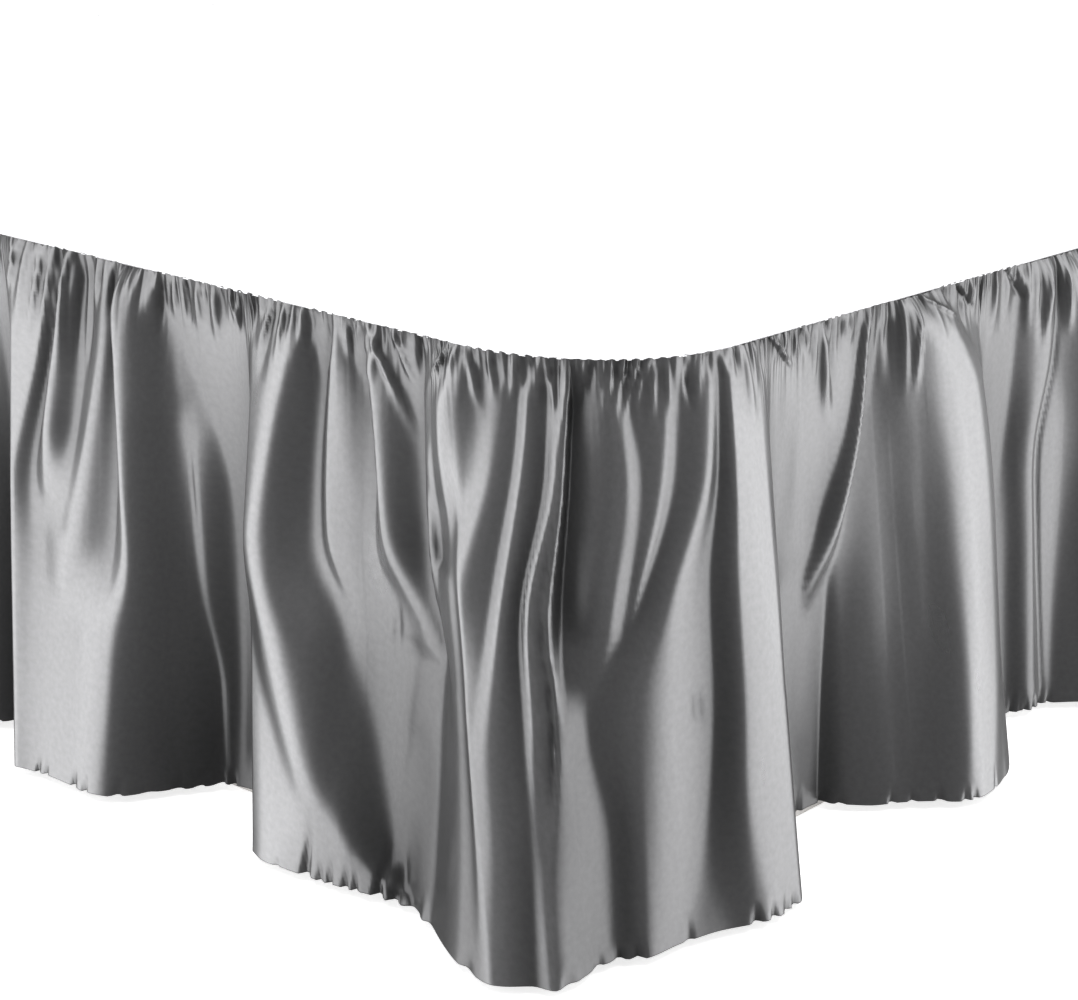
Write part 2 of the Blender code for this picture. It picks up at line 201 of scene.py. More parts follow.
CORNER_FOLDS = [
    Fold((-27.5, -28.5, -28, -24.5, -20.5, -17.6), (0, 0, -4)),
    Fold((-24.2, -25, -25, -21, -16.8, -8.8), (5, 10, 4)),
    Fold((-21.9, -21.5, -20.3, -15.4, -11.2, -8), (-8, -13, -5)),
    Fold((-21, -20.2, -18.8, -14.2, -13, -13), (3, -6, -10), end=0.58),
    Fold((-18.8, -16.3, -15.4, -13, -12, -12), (-10, -7, -9), end=0.58),
    Fold((-18.3, -15.8, -13.1, -7.2, -7, -7), (3, 4, 4), end=0.55),
    Fold((-13.6, -12.1, -10, -6.9, -6.5, -6.3), (-8, -14, -8), end=0.68),
    Fold((-13, -11.5, -9.4, -6.3, -6, -6), (-1, -4, -4), end=0.64),
    Fold((-9.8, -10.7, -8.8, -8.6, -8.6, -8.6), (2, 2, 2), end=0.38),
    Fold((-7.3, -7.2, -8.6, -8.5, -8.5, -8.5), (-7, -7, -7), end=0.38),
    Fold((-6.6, -6.05, -6.7, -6.6, -6.5, -6.5), (-8, -3, -3), end=0.56),
    Fold((-5.3, -4.95, -5.1, -5.1, -4.3, -4), (-9, -5, -1)),
    Fold((-4.7, -4.25, -4.4, -4.15, -3.4, -3), (-5, -1, 2)),
    Fold((-3.6, -3.2, -3.7, -3.15, -2.5, -2.1), (-7, -4.5, 0)),
    Fold((-2.5, -2.35, -3.15, -2.45, -2, -1.1), (0, 3, 3), end=0.8),
    Fold((-2.4, -2.25, -2.63, -1.85, -1.7, -1), (0, 1.5, 1), 0.15, 0.80),
    Fold((-2.1, -2.1, -2.45, -1.8, -1.6, -1.3), (0, 4.5, 8)),
    Fold((-1.6, -1.6, -1.7, -1.4, -1.3, -1), (-9, -11, -8), end=0.62),
    Fold((-0.1, 1.3, 0.5, 0, 0, 0), (1.5, 2.5, 1), end=0.54),
    Fold((1.3, 2.6, 1.7, 0.6, 0.5, 0.5), (-3.5, -1, 0), end=0.46),
    Fold((4.6, 3.7, 1.9, 0.7, 0.6, 0.6), (-2.5, -0.5, 0), end=0.49),
    Fold((5.6, 4.8, 2.5, -0.3, 0.6, 0.7), (-4.5, -6, -7)),
    Fold((8, 6.8, 3.8, 1.9, 1.9, 1.9), (0, 1.5, 1)),
    Fold((8.7, 8, 6.7, 6.3, 5.2, 3.5), (0, -6, -4)),
    Fold((9.3, 8.8, 8.1, 7.7, 7.2, 7.4), (4, 4, 8)),
    Fold((11.5, 10.9, 10.2, 9.9, 9.6, 9.4), (4, 3, 0)),
]
SIDE_FOLDS = [
    Fold((25.9, 24.2, 21.4, 18.6, 17.6, 17), (-2, 0, 0), end=0.62),
    Fold((26.4, 25.2, 22.9, 20.3, 19.3, 18.7), (3, 6.5, 5.5), end=0.66),
    Fold((27.5, 26, 24.9, 23.3, 23.5, 24), (-8, -8, -6)),
    Fold((30.5, 30.6, 30.9, 30.8, 30, 29), (9, 1, -3)),
    Fold((31.4, 34.9, 35.2, 35, 34, 32.6), (19, 13.5, 6)),
    Fold((33.6, 37.2, 37.7, 37.4, 36.8, 35.4), (20, 12.5, 5)),
    Fold((36.5, 42, 42.6, 41.8, 40.8, 39.5), (-2, -3, -3)),
    Fold((44.8, 45.6, 46, 46.5, 47.5, 48.5), (-8, -7, -5)),
    Fold((51.3, 51.2, 49.7, 50.6, 51.6, 52.6), (14, 6, 3)),
    Fold((52.3, 52, 50.5, 51.4, 52.6, 53.8), (11, 4, 1)),
    Fold((52.9, 52.6, 51.1, 52, 53.2, 54.5), (14, 7, 3.5)),
    Fold((60, 60, 60, 61, 61.5, 62), (44, 18, 6)),
]

FAR_CORNER_SLACK = 0.93


class LobeShare(NamedTuple):
    """A crest or valley of a plain lobe, as shares of its width at the seam and hem, and of its reach."""

    seam: float
    hem: float
    reach: float


PLAIN_LOBE = [LobeShare(*row) for row in (
    (0.00, 0.02, 0.12),
    (0.08, 0.17, 0.92),
    (0.32, 0.34, 1.00),
    (0.60, 0.58, 0.80),
    (0.84, 0.78, 0.86),
    (0.92, 0.93, 0.15),
)]
PLAIN_LOBE_WIDTH_CM = 22.0
PLAIN_WIDTH_SPREAD = (0.75, 1.25)
PLAIN_REACH_MM = (62.0, 96.0)
PLAIN_LEAN_CM = 1.3
PLAIN_FOLD_SHARES = (0.16, 0.30, 0.45, 0.60, 0.76)
PLAIN_FOLD_SHIFT = 0.03
PLAIN_WANDER_CM = 0.5
PLAIN_LEVEL_MM = (3.0, 6.0)
STRETCH_GAP_CM = 1.5


def smooth_step(low: float, high: float, value: np.ndarray) -> np.ndarray:
    """Return 0 below low and 1 above high, with a smooth rise between them."""
    share = np.clip((np.asarray(value, float) - low) / (high - low), 0.0, 1.0)
    return share * share * (3 - 2 * share)


def add_object(name: str, data: bpy.types.ID) -> bpy.types.Object:
    """Put a new object into the scene.

    Args:
        name: The object's name.
        data: The mesh, light or camera that it shows.

    Returns:
        The object.
    """
    made = bpy.data.objects.new(name, data)
    bpy.context.collection.objects.link(made)
    return made


def add_mesh(name: str, points: Sequence, faces: Sequence) -> bpy.types.Object:
    """Put a new mesh object into the scene.

    Args:
        name: The name of the object and of its mesh.
        points: The mesh's points.
        faces: The point numbers of each face.

    Returns:
        The object.
    """
    mesh = bpy.data.meshes.new(name)
    mesh.from_pydata(points, [], faces)
    return add_object(name, mesh)


def hump(away: np.ndarray) -> np.ndarray:
    """Return a round hump, from 1 in its middle to 0 where away reaches 1."""
    return 0.5 + 0.5 * np.cos(math.pi * np.clip(away, 0, 1))


def add_hump(values: np.ndarray, place_cm: np.ndarray, middle_cm: float, half_cm: float, rise: float) -> None:
    """Add a hump round its middle place to a row of values."""
    low, high = np.searchsorted(place_cm, (middle_cm - half_cm, middle_cm + half_cm))
    values[low:high] += rise * hump(np.abs(place_cm[low:high] - middle_cm) / half_cm)


def add_waves(base: float, waves: Sequence[Wave], place: np.ndarray) -> np.ndarray:
    """Add waves to a base value.

    Args:
        base: The value without the waves.
        waves: The waves.
        place: Places along the seam, in the unit of the waves' reach.

    Returns:
        The sum at each place.
    """
    total = np.full(len(place), base)
    for wave in waves:
        total += wave.strength * np.sin(place / wave.reach + wave.phase)
    return total


def even_slopes(places: np.ndarray, values: np.ndarray) -> np.ndarray:
    """Find slopes for a curve that never overshoots its values.

    Args:
        places: Places in rising order.
        values: The curve's values there.

    Returns:
        The slope at each place.
    """
    steps = np.diff(values) / np.diff(places)
    slopes = np.zeros(len(places))
    slopes[0], slopes[-1] = steps[0], steps[-1]
    before, after = steps[:-1], steps[1:]
    same = before * after > 0
    total = np.where(same, before + after, 1.0)
    slopes[1:-1] = np.where(same, 2 * before * after / total, 0.0)
    return slopes


def curve_at(wanted: np.ndarray, places: np.ndarray, values: np.ndarray) -> np.ndarray:
    """Read a smooth curve through given values.

    Args:
        wanted: The places to read it at.
        places: The places of the values, in rising order.
        values: The values.

    Returns:
        The curve's value at each wanted place.
    """
    slopes = even_slopes(places, values)
    i = np.clip(np.searchsorted(places, wanted) - 1, 0, len(places) - 2)
    width = places[i + 1] - places[i]
    s = np.clip((wanted - places[i]) / width, 0.0, 1.0)
    rise = (3 - 2 * s) * s * s
    leave = (s - 2 * s * s + s**3) * width * slopes[i]
    arrive = (s**3 - s * s) * width * slopes[i + 1]
    return values[i] + (values[i + 1] - values[i]) * rise + leave + arrive


@dataclass
class SeamLine:
    """The sewn line round the deck: down the +X side, round the foot and up the -X side."""

    half_width: float
    half_length: float
    corner_radius: float = 0.125
    head_margin: float = 0.04

    def __post_init__(self) -> None:
        """Work out the runs between the corners."""
        self.corner_reach = self.corner_radius * math.pi / 4
        self.foot_run = 2 * (self.half_width - self.corner_radius)
        self.side_run = 2 * self.half_length - self.corner_radius - self.head_margin
        self.start_cm = -(3 * self.corner_reach + self.foot_run + self.side_run) / CM
        self.end_cm = (self.corner_reach + self.side_run) / CM
        self.far_corner_cm = -(2 * self.corner_reach + self.foot_run) / CM

    def points(self, places_cm: np.ndarray) -> tuple[np.ndarray, np.ndarray]:
        """Find plan points on the seam.

        Args:
            places_cm: Places along the seam.

        Returns:
            The plan points, and the directions that point out of the bed there.
        """
        places = np.asarray(places_cm, float) * CM
        points = np.zeros((len(places), 2))
        outward = np.zeros((len(places), 2))
        middle = -self.corner_reach - self.foot_run / 2
        for side in (1, -1):
            centre = np.array([
                side * (self.half_width - self.corner_radius),
                self.corner_radius - self.half_length,
            ])
            corner = 0.0 if side > 0 else self.far_corner_cm * CM
            along = (places - corner) * side
            own = places >= middle if side > 0 else places < middle
            turn = np.clip(along, -self.corner_reach, self.corner_reach) / self.corner_radius + math.pi / 4
            facing = np.stack([side * np.sin(turn), -np.cos(turn)], axis=1)
            foot = np.minimum(along + self.corner_reach, 0.0)[:, None] * np.array([side, 0.0])
            flank = np.maximum(along - self.corner_reach, 0.0)[:, None] * np.array([0.0, 1.0])
            points[own] = (centre + self.corner_radius * facing + foot + flank)[own]
            outward[own] = facing[own]
        return points, outward


@dataclass
class FoldTables:
    """Every lobe and fold of the drop, from the head of its -X side to the head of its +X side."""

    seam: SeamLine
    lobes: list[Lobe] = field(default_factory=list)
    folds: list[Fold] = field(default_factory=list)

    def __post_init__(self) -> None:
        """Join the placed stretch, the far corner and the plain stretches beside them."""
        far_lobes, far_folds = self.far_corner()
        self.add_plain(self.seam.start_cm, far_lobes[0].seam_cm - STRETCH_GAP_CM, seed=11)
        self.add(far_lobes, far_folds)
        foot_start_cm, foot_end_cm = far_lobes[-1].seam_cm, FOOT_LOBES[0].seam_cm
        self.add_plain(foot_start_cm + STRETCH_GAP_CM, foot_end_cm - STRETCH_GAP_CM, seed=12)
        self.add(FOOT_LOBES + CORNER_LOBES + SIDE_LOBES, FOOT_FOLDS + CORNER_FOLDS + SIDE_FOLDS)
        self.add_plain(SIDE_LOBES[-1].seam_cm + STRETCH_GAP_CM, self.seam.end_cm, seed=13)

    def add(self, lobes: Sequence[Lobe], folds: Sequence[Fold]) -> None:
        """Append a stretch of lobes and folds."""
        self.lobes += lobes
        self.folds += folds

    def far_corner(self) -> tuple[list[Lobe], list[Fold]]:
        """Mirror the near corner.

        Returns:
            The far corner's lobes and folds, slightly slacker than the near ones.
        """
        far = self.seam.far_corner_cm
        slack = FAR_CORNER_SLACK
        lobes = [
            Lobe(far - row.seam_cm, far - row.hem_cm, row.out_mm * slack, -row.bow_cm)
            for row in reversed(CORNER_LOBES)
        ]
        folds = []
        for row in CORNER_FOLDS:
            path = tuple(far - place for place in row.path_cm)
            levels = tuple(level * slack for level in row.level_mm)
            folds.append(Fold(path, levels, row.start, row.end))
        return lobes, folds

    def add_plain(self, start_cm: float, end_cm: float, seed: int) -> None:
        """Fill a stretch of the seam with plain, uneven lobes and their folds.

        Args:
            start_cm: Where the stretch starts.
            end_cm: Where it ends.
            seed: The seed of its random draws.
        """
        chance = random.Random(seed)
        count = max(1, round((end_cm - start_cm) / PLAIN_LOBE_WIDTH_CM))
        shares = [chance.uniform(*PLAIN_WIDTH_SPREAD) for _ in range(count)]
        start = start_cm
        for share in shares:
            width = (end_cm - start_cm) * share / sum(shares)
            reach = chance.uniform(*PLAIN_REACH_MM)
            lean = chance.uniform(-PLAIN_LEAN_CM, PLAIN_LEAN_CM)
            self.lobes += self.plain_lobe(start, width, reach, lean, flip=chance.random() < 0.5)
            self.folds += self.plain_folds(start, width, chance)
            start += width

    @staticmethod
    def plain_lobe(
        start_cm: float, width_cm: float, reach_mm: float, lean_cm: float, flip: bool
    ) -> list[Lobe]:
        """Lay out one plain lobe.

        Args:
            start_cm: Where the lobe starts on the seam.
            width_cm: Its width.
            reach_mm: How far it stands out at the hem.
            lean_cm: How far its middle leans along the hem.
            flip: Whether the lobe is mirrored.

        Returns:
            The lobe's rows.
        """
        shares = PLAIN_LOBE
        if flip:
            seam_sum = PLAIN_LOBE[-1].seam
            hem_sum = PLAIN_LOBE[0].hem + PLAIN_LOBE[-1].hem
            shares = [
                LobeShare(seam_sum - share.seam, hem_sum - share.hem, share.reach)
                for share in reversed(PLAIN_LOBE)
            ]
        return [
            Lobe(
                start_cm + share.seam * width_cm,
                start_cm + share.hem * width_cm + lean_cm * math.sin(math.pi * share.hem),
                share.reach * reach_mm,
            )
            for share in shares
        ]

    @staticmethod
    def plain_folds(start_cm: float, width_cm: float, chance: random.Random) -> list[Fold]:
        """Lay out the folds of one plain lobe.

        Args:
            start_cm: Where the lobe starts on the seam.
            width_cm: Its width.
            chance: The source of random numbers.

        Returns:
            Crests and valleys in turn, each wandering a little.
        """
        folds = []
        for number, share in enumerate(PLAIN_FOLD_SHARES):
            place = start_cm + (share + chance.uniform(-PLAIN_FOLD_SHIFT, PLAIN_FOLD_SHIFT)) * width_cm
            path = []
            for _ in PATH_HEIGHTS:
                path.append(place)
                place += chance.uniform(-PLAIN_WANDER_CM, PLAIN_WANDER_CM)
            level = chance.uniform(*PLAIN_LEVEL_MM) * (1 if number % 2 == 0 else -1)
            folds.append(Fold(tuple(path), (level, level, level)))
        return folds


@dataclass
class DropShape:
    """The middle surface of the drop, as a function of a column and a height."""

    seam: SeamLine
    seam_limit_mm: float = 4.0
    limit_growth_mm: float = 240.0
    fade: float = 0.2
    least_gap_cm: float = 0.12
    least_out_mm: float = 0.8
    blend_mm: float = 1.0

    def __post_init__(self) -> None:
        """Take the tables apart into arrays."""
        tables = FoldTables(self.seam)
        self.folds = tables.folds
        self.lobe_seam = np.array([row.seam_cm for row in tables.lobes])
        self.lobe_hem = np.array([row.hem_cm for row in tables.lobes])
        self.lobe_out = np.array([row.out_mm for row in tables.lobes])
        self.lobe_bow = np.array([row.bow_cm for row in tables.lobes])

    def place(self, column_cm: np.ndarray, height: float) -> np.ndarray:
        """Find where columns lie at a height.

        Args:
            column_cm: Where the columns leave the seam.
            height: The height on the drop.

        Returns:
            Their places along the seam line at that height.
        """
        bow = 4 * height * (1 - height) * self.lobe_bow
        there = self.lobe_seam * (1 - height) + self.lobe_hem * height + bow
        return column_cm + curve_at(column_cm, self.lobe_seam, there - self.lobe_seam)

    def fold_share(self, fold: Fold, height: float) -> float:
        """Return how much of a fold shows at a height, from 0 to 1."""
        begun = 1.0 if fold.start <= 0 else float(smooth_step(fold.start, fold.start + self.fade, height))
        return begun * float(1 - smooth_step(fold.end - self.fade, fold.end, height))

    def relief(self, place_cm: np.ndarray, height: float) -> np.ndarray:
        """Find how far the folds lift the cloth at one height.

        Args:
            place_cm: Places along the seam.
            height: The height on the drop.

        Returns:
            The lift at each place, in millimetres.
        """
        spot = np.array([height])
        rows = []
        for fold in self.folds:
            share = self.fold_share(fold, height)
            if share > 0:
                place = curve_at(spot, PATH_HEIGHTS, np.array(fold.path_cm))[0]
                level = curve_at(spot, LEVEL_HEIGHTS, np.array(fold.level_mm))[0]
                rows.append((place, level, share, fold.start <= 0 and fold.end >= PAST_HEM))
        rows.sort()
        places, levels, shares, whole = (np.array(column) for column in zip(*rows))
        rank = np.arange(len(places)) * self.least_gap_cm
        places = np.maximum.accumulate(places - rank) + rank
        along = curve_at(places, places[whole], levels[whole])
        levels = levels * shares + along * (1 - shares)
        limit = self.seam_limit_mm + self.limit_growth_mm * height
        return limit * np.tanh(curve_at(place_cm, places, levels) / limit)

    def out(self, column_cm: np.ndarray, place_cm: np.ndarray, height: float) -> np.ndarray:
        """Find how far the cloth stands out from the seam line at one height.

        Args:
            column_cm: Where the columns leave the seam.
            place_cm: Their places at this height.
            height: The height on the drop.

        Returns:
            The distance at each place, in millimetres.
        """
        wide = curve_at(column_cm, self.lobe_seam, self.lobe_out) * height + self.relief(place_cm, height)
        least = self.least_out_mm
        return least + 0.5 * (wide - least + np.sqrt((wide - least) ** 2 + self.blend_mm**2))

    def level(self, column_cm: np.ndarray, height: float, extra_mm: np.ndarray | float = 0.0) -> np.ndarray:
        """Find the plan points of the cloth at one height.

        Args:
            column_cm: Where the columns leave the seam.
            height: The height on the drop.
            extra_mm: What the fine detail adds to the cloth's distance from the seam line.

        Returns:
            The plan points.
        """
        place = self.place(column_cm, height)
        points, outward = self.seam.points(place)
        return points + outward * (self.out(column_cm, place, height) + extra_mm)[:, None] * MM


# The gathers, hem puckers and dimples of the placed stretch.
PLACED_GATHERS = [Gather(*row) for row in (
    (-54.6, -53.4, 0.07, 2.2, 4),
    (-52.6, -52.4, 0.19, 3, 8),
    (-50.5, -50.2, 0.19, -2.6, 7),
    (-49.7, -49, 0.24, -2, 3),
    (-48.4, -46.8, 0.26, 2.4, 6),
    (-46.9, -45.6, 0.26, -2, 5),
    (-46.2, -44.6, 0.26, 2, 4),
    (-45.4, -44.2, 0.24, -1.6, 3.5),
    (-44.9, -44.3, 0.14, 2.4, 8),
    (-42.9, -42.6, 0.14, -2.4, 6),
    (-42.2, -41.4, 0.22, -1.6, 3),
    (-41.6, -40.6, 0.20, 1.8, 4),
    (-38.9, -38.4, 0.11, 4, 11),
    (-37, -36.8, 0.10, 2, 5),
    (-35.9, -35.3, 0.10, -5, 3.5),
    (-34.6, -34.4, 0.11, 2.5, 7),
    (-33, -32.4, 0.13, 3, 7),
    (-31.4, -30.1, 0.09, 2.2, 4),
    (-30.3, -30, 0.10, -3, 4),
    (-28.8, -28.3, 0.11, -2.5, 8),
    (-26.9, -27.9, 0.10, 2, 4),
    (-26.9, -26.8, 0.17, -3, 9),
    (-25.6, -25.4, 0.12, 2.5, 4),
    (-25, -25, 0.07, -2, 3),
    (-21.2, -21.4, 0.12, -2, 7),
    (-20.3, -19.1, 0.09, 2.6, 5),
    (-19.4, -19.2, 0.10, -2, 3),
    (-17.9, -12.3, 0.21, 3, 4.5),
    (-15.9, -13, 0.12, 2.5, 4),
    (-13.3, -13, 0.09, -3, 5),
    (-10.6, -12.1, 0.09, 2.2, 4),
    (-10.8, -10.6, 0.11, -2.5, 7),
    (-9.2, -7.3, 0.12, 2.2, 4),
    (-7.6, -6.6, 0.10, 1.8, 3),
    (-6.7, -6.5, 0.08, -1.5, 3),
    (-5.7, -5.6, 0.09, 1.8, 3.5),
    (-4.9, -4.7, 0.08, -1.8, 3.5),
    (-4.2, -3.9, 0.10, 1.8, 3),
    (-3.6, -2.4, 0.12, 2, 3),
    (0.6, 0.2, 0.10, 1.8, 3),
    (1.4, 0.8, 0.11, 2, 3.5),
    (2.3, 1.3, 0.12, 2, 3.5),
    (3, 2, 0.10, 1.8, 3),
    (3.7, 3.1, 0.13, 2, 3.5),
    (7, 6.6, 0.10, 1.6, 3),
    (10.2, 10.1, 0.06, -2, 5),
    (12.9, 12.7, 0.08, -2, 8),
    (14.2, 18, 0.09, 2.4, 5),
    (17.4, 17.4, 0.07, 2.2, 3),
    (18.3, 18.2, 0.06, -2.5, 5),
    (19.1, 19, 0.07, 2.2, 3),
    (20.6, 22.3, 0.24, 4.5, 10),
    (21.2, 21.3, 0.05, -2, 7),
    (31.7, 30.5, 0.20, 2.5, 4),
    (32.6, 33, 0.06, -2.5, 4),
    (32.5, 40, 0.10, 3, 5),
    (38.2, 41.5, 0.08, -2.5, 5),
    (40.2, 40.8, 0.06, 2.5, 7),
    (42, 42.6, 0.12, -2.5, 5),
    (44.2, 44.4, 0.15, 3, 10),
    (45.4, 48.8, 0.09, -2.5, 5),
    (47.3, 48.5, 0.08, 2.5, 7),
    (49.9, 50, 0.20, -3, 5),
    (51, 50.6, 0.18, 3, 5),
    (52.2, 52.3, 0.16, -3, 7),
    (53.4, 53.2, 0.18, 3, 5),
)]
PLACED_PUCKERS = [Pucker(*row) for row in (
    (-42.5, 16, 1.5, 3),
    (-41.6, 14, 1.5, 3),
    (-38.5, 18, 2, 4),
    (-37.3, 16, 1.8, 3),
    (-32, 16, 2, 3),
    (-31.2, 18, 2, 3.5),
    (-30.4, 16, 2, 3),
    (-15.8, 48, 2.6, 6),
    (-14.5, 18, 1.6, 3),
    (-13.7, 22, 1.8, 3),
    (-12.4, 20, 1.8, 3.5),
    (-11.6, 18, 1.8, 3),
    (-9.9, 38, 3, 5),
    (-9, 36, 3, 5),
    (-7.2, 20, -1.5, 4),
    (-4.2, 14, 1.5, 4),
    (-1, 14, 1.6, 3.5),
    (0, 16, 1.8, 3),
    (0.8, 14, 1.6, 3),
    (1.5, 16, 1.8, 3),
    (7, 16, 1.8, 3.5),
    (7.9, 18, 2, 3.5),
    (8.8, 16, 1.6, 3),
    (9.4, 14, 1.6, 3),
    (24.7, 16, 2, 3),
    (25.4, 14, 1.6, 3),
    (28.2, 16, 1.8, 3),
    (29.5, 14, 1.6, 3),
    (31, 18, 2, 4),
    (32.5, 16, 1.8, 3),
    (33.3, 14, 1.6, 3),
    (51.6, 16, 1.8, 3),
    (52.6, 18, 2, 3.5),
    (53.6, 16, 1.8, 3),
    (54.6, 16, 1.8, 3),
)]
DIMPLES = (
    Dimple(5.2, 0.61, 1.2, 0.60, 0.050),
    Dimple(-12.6, 0.53, 1.6, 0.60, 0.050),
)


def dimple_depth(place_cm: np.ndarray, height: float) -> np.ndarray:
    """Find how far the dimples draw the cloth in at one height.

    Args:
        place_cm: Places along the seam.
        height: The height on the drop.

    Returns:
        The depth at each place, in millimetres.
    """
    depth_and_painted_shade = np.zeros(len(place_cm))
    for row in DIMPLES:
        away = np.hypot((place_cm - row.place_cm) / row.half_cm, (height - row.height) / row.half_height)
        depth_and_painted_shade += row.depth_mm * hump(away)
    return depth_and_painted_shade


PLEAT_DRIFT = (Wave(2.1, 31, 0), Wave(1.7, 47, 1.3), Wave(0.9, 13, 0.4))
PLEAT_SWAY = (Wave(2, 71, 0),)


@dataclass
class SeamGathers:
    """The short pleats that the gathering thread leaves below the seam."""

    seam: SeamLine
    end_margin_cm: float = 1.0
    clear_cm: float = 0.6
    pitch_cm: float = 1.15
    pitch_spread: Span = (0.5, 1.5)
    least_length: float = 0.05
    spare_length: float = 0.15
    rise_mm: Span = (0.9, 2.4)
    flank_mm: Span = (3.0, 7.0)
    flank_at_seam: float = 0.6
    flank_growth: float = 0.6
    shown_at_seam: float = 0.45
    full_at: float = 0.25
    fades_from: float = 0.35
    pleat_pitch_mm: float = 8.6
    pleat_rise_mm: float = 0.95
    pleat_reach: float = 0.03
    pleat_evenness: float = 0.65
    pleat_swell_mm: float = 23.0
    fine_cm: Span = (-64.0, 61.0)
    fine_fade_cm: float = 3.0
    seed: int = 21

    def __post_init__(self) -> None:
        """Scatter pleats of uneven size along the seam, thinly where placed ones already stand."""
        chance = random.Random(self.seed)
        self.rows = list(PLACED_GATHERS)
        spot = self.seam.start_cm + self.end_margin_cm
        while spot < self.seam.end_cm - self.end_margin_cm:
            if any(abs(row.seam_cm - spot) < self.clear_cm for row in PLACED_GATHERS):
                spot += self.clear_cm
                continue
            lean = chance.uniform(-1, 1) * chance.random()
            length = self.least_length + self.spare_length * chance.random() ** 2
            rise = chance.uniform(*self.rise_mm) * chance.choice((1, 1, -1))
            self.rows.append(Gather(spot, spot + lean, length, rise, chance.uniform(*self.flank_mm)))
            spot += self.pitch_cm * chance.uniform(*self.pitch_spread)

    def rise(self, place_cm: np.ndarray, height: float) -> np.ndarray:
        """Find how far the pleats lift the cloth at one height.

        Args:
            place_cm: Places along the seam.
            height: The height on the drop.

        Returns:
            The lift at each place, in millimetres.
        """
        lift = np.zeros(len(place_cm))
        for row in self.rows:
            if height >= row.length:
                continue
            down = height / row.length
            middle = row.seam_cm + (row.foot_cm - row.seam_cm) * down
            flank = row.flank_mm * (self.flank_at_seam + self.flank_growth * down) * MM / CM
            begun = self.shown_at_seam + (1 - self.shown_at_seam) * smooth_step(0, self.full_at, down)
            shown = begun * (1 - smooth_step(self.fades_from, 1, down))
            add_hump(lift, place_cm, middle, flank, row.rise_mm * shown)
        return lift + self.pleat_wave(place_cm) * self.pleat_rise_mm * math.exp(-height / self.pleat_reach)

    def pleat_wave(self, place_cm: np.ndarray) -> np.ndarray:
        """Find the uneven wave of the finest pleats, which only the near stretch shows.

        Args:
            place_cm: Places along the seam.

        Returns:
            The wave at each place, from -1 to 1.
        """
        mm = place_cm * CM / MM
        drift = add_waves(0.0, PLEAT_DRIFT, mm)
        swell = np.sin(mm / self.pleat_swell_mm + add_waves(0.0, PLEAT_SWAY, mm))
        strength = self.pleat_evenness + (1 - self.pleat_evenness) * swell
        return self.nearness(place_cm) * strength * np.sin(2 * math.pi * mm / self.pleat_pitch_mm + drift)

    def nearness(self, place_cm: np.ndarray) -> np.ndarray:
        """Tell the near stretch from the rest.

        Args:
            place_cm: Places along the seam.

        Returns:
            1 on the near stretch and 0 away from it.
        """
        low, high = self.fine_cm
        fade = self.fine_fade_cm
        return smooth_step(0, fade, place_cm - low) * smooth_step(0, fade, high - place_cm)


HEM_WAVES = (Wave(0.22, 2.3, 0), Wave(0.17, 0.93, 1), Wave(0.11, 0.41, 2))


@dataclass
class HemPuckers:
    """The dents that the hem stitching draws into the cloth above it, and the hem's uneven edge."""

    seam: SeamLine
    depth_scale: float = 1.6
    margin_cm: float = 2.0
    skip_cm: float = 1.0
    group_sizes: tuple[int, ...] = (1, 1, 2, 3)
    gap_cm: Span = (0.7, 1.5)
    pitch_cm: float = 3.4
    pitch_spread: Span = (0.4, 1.6)
    height_mm: Span = (10.0, 26.0)
    depth_mm: Span = (0.8, 2.2)
    half_mm: Span = (2.5, 5.0)
    narrowing: float = 0.35
    rounding: float = 1.5
    edge_swing_mm: float = 1.8
    edge_pull: float = 0.35
    seed: int = 31

    def __post_init__(self) -> None:
        """Scatter dents along the hem in loose groups."""
        chance = random.Random(self.seed)
        self.rows = list(PLACED_PUCKERS)
        spot = self.seam.start_cm + self.margin_cm
        while spot < self.seam.end_cm - self.margin_cm:
            if any(abs(row.place_cm - spot) < self.margin_cm for row in PLACED_PUCKERS):
                spot += self.skip_cm
                continue
            for _ in range(chance.choice(self.group_sizes)):
                ranges = (self.height_mm, self.depth_mm, self.half_mm)
                self.rows.append(Pucker(spot, *(chance.uniform(*limits) for limits in ranges)))
                spot += chance.uniform(*self.gap_cm)
            spot += self.pitch_cm * chance.uniform(*self.pitch_spread)

    def dent(self, place_cm: np.ndarray, above_hem_mm: float) -> np.ndarray:
        """Find how far the dents draw the cloth in at one height.

        Args:
            place_cm: Places along the seam.
            above_hem_mm: The height above the hem.

        Returns:
            The depth at each place, in millimetres.
        """
        dent = np.zeros(len(place_cm))
        for row in self.rows:
            share = above_hem_mm / row.height_mm
            if share >= 1:
                continue
            half = row.half_mm * (1 - self.narrowing * share) * MM / CM
            add_hump(dent, place_cm, row.place_cm, half, row.depth_mm * (1 - share) ** self.rounding)
        return dent * self.depth_scale

    def edge_lift(self, place_cm: np.ndarray) -> np.ndarray:
        """Return how far the hem's edge lies above its lowest line, in millimetres."""
        wave = add_waves(0.5, HEM_WAVES, place_cm)
        return self.edge_swing_mm * wave + self.edge_pull * self.dent(place_cm, 0.0)


class HemTurn(NamedTuple):
    """A row inside the turned hem: its height in the band, inset and lift, and its cloth past the edge."""

    band_share: float
    inset_mm: float
    lift_mm: float
    cloth_mm: float


HEM_BAND_MM = 7.0
HEM_TURNS = (
    HemTurn(0, 0.5, -0.3, 0.6),
    HemTurn(0, 1.0, 0.2, 1.2),
    HemTurn(1, 1.1, 0.0, HEM_BAND_MM),
)


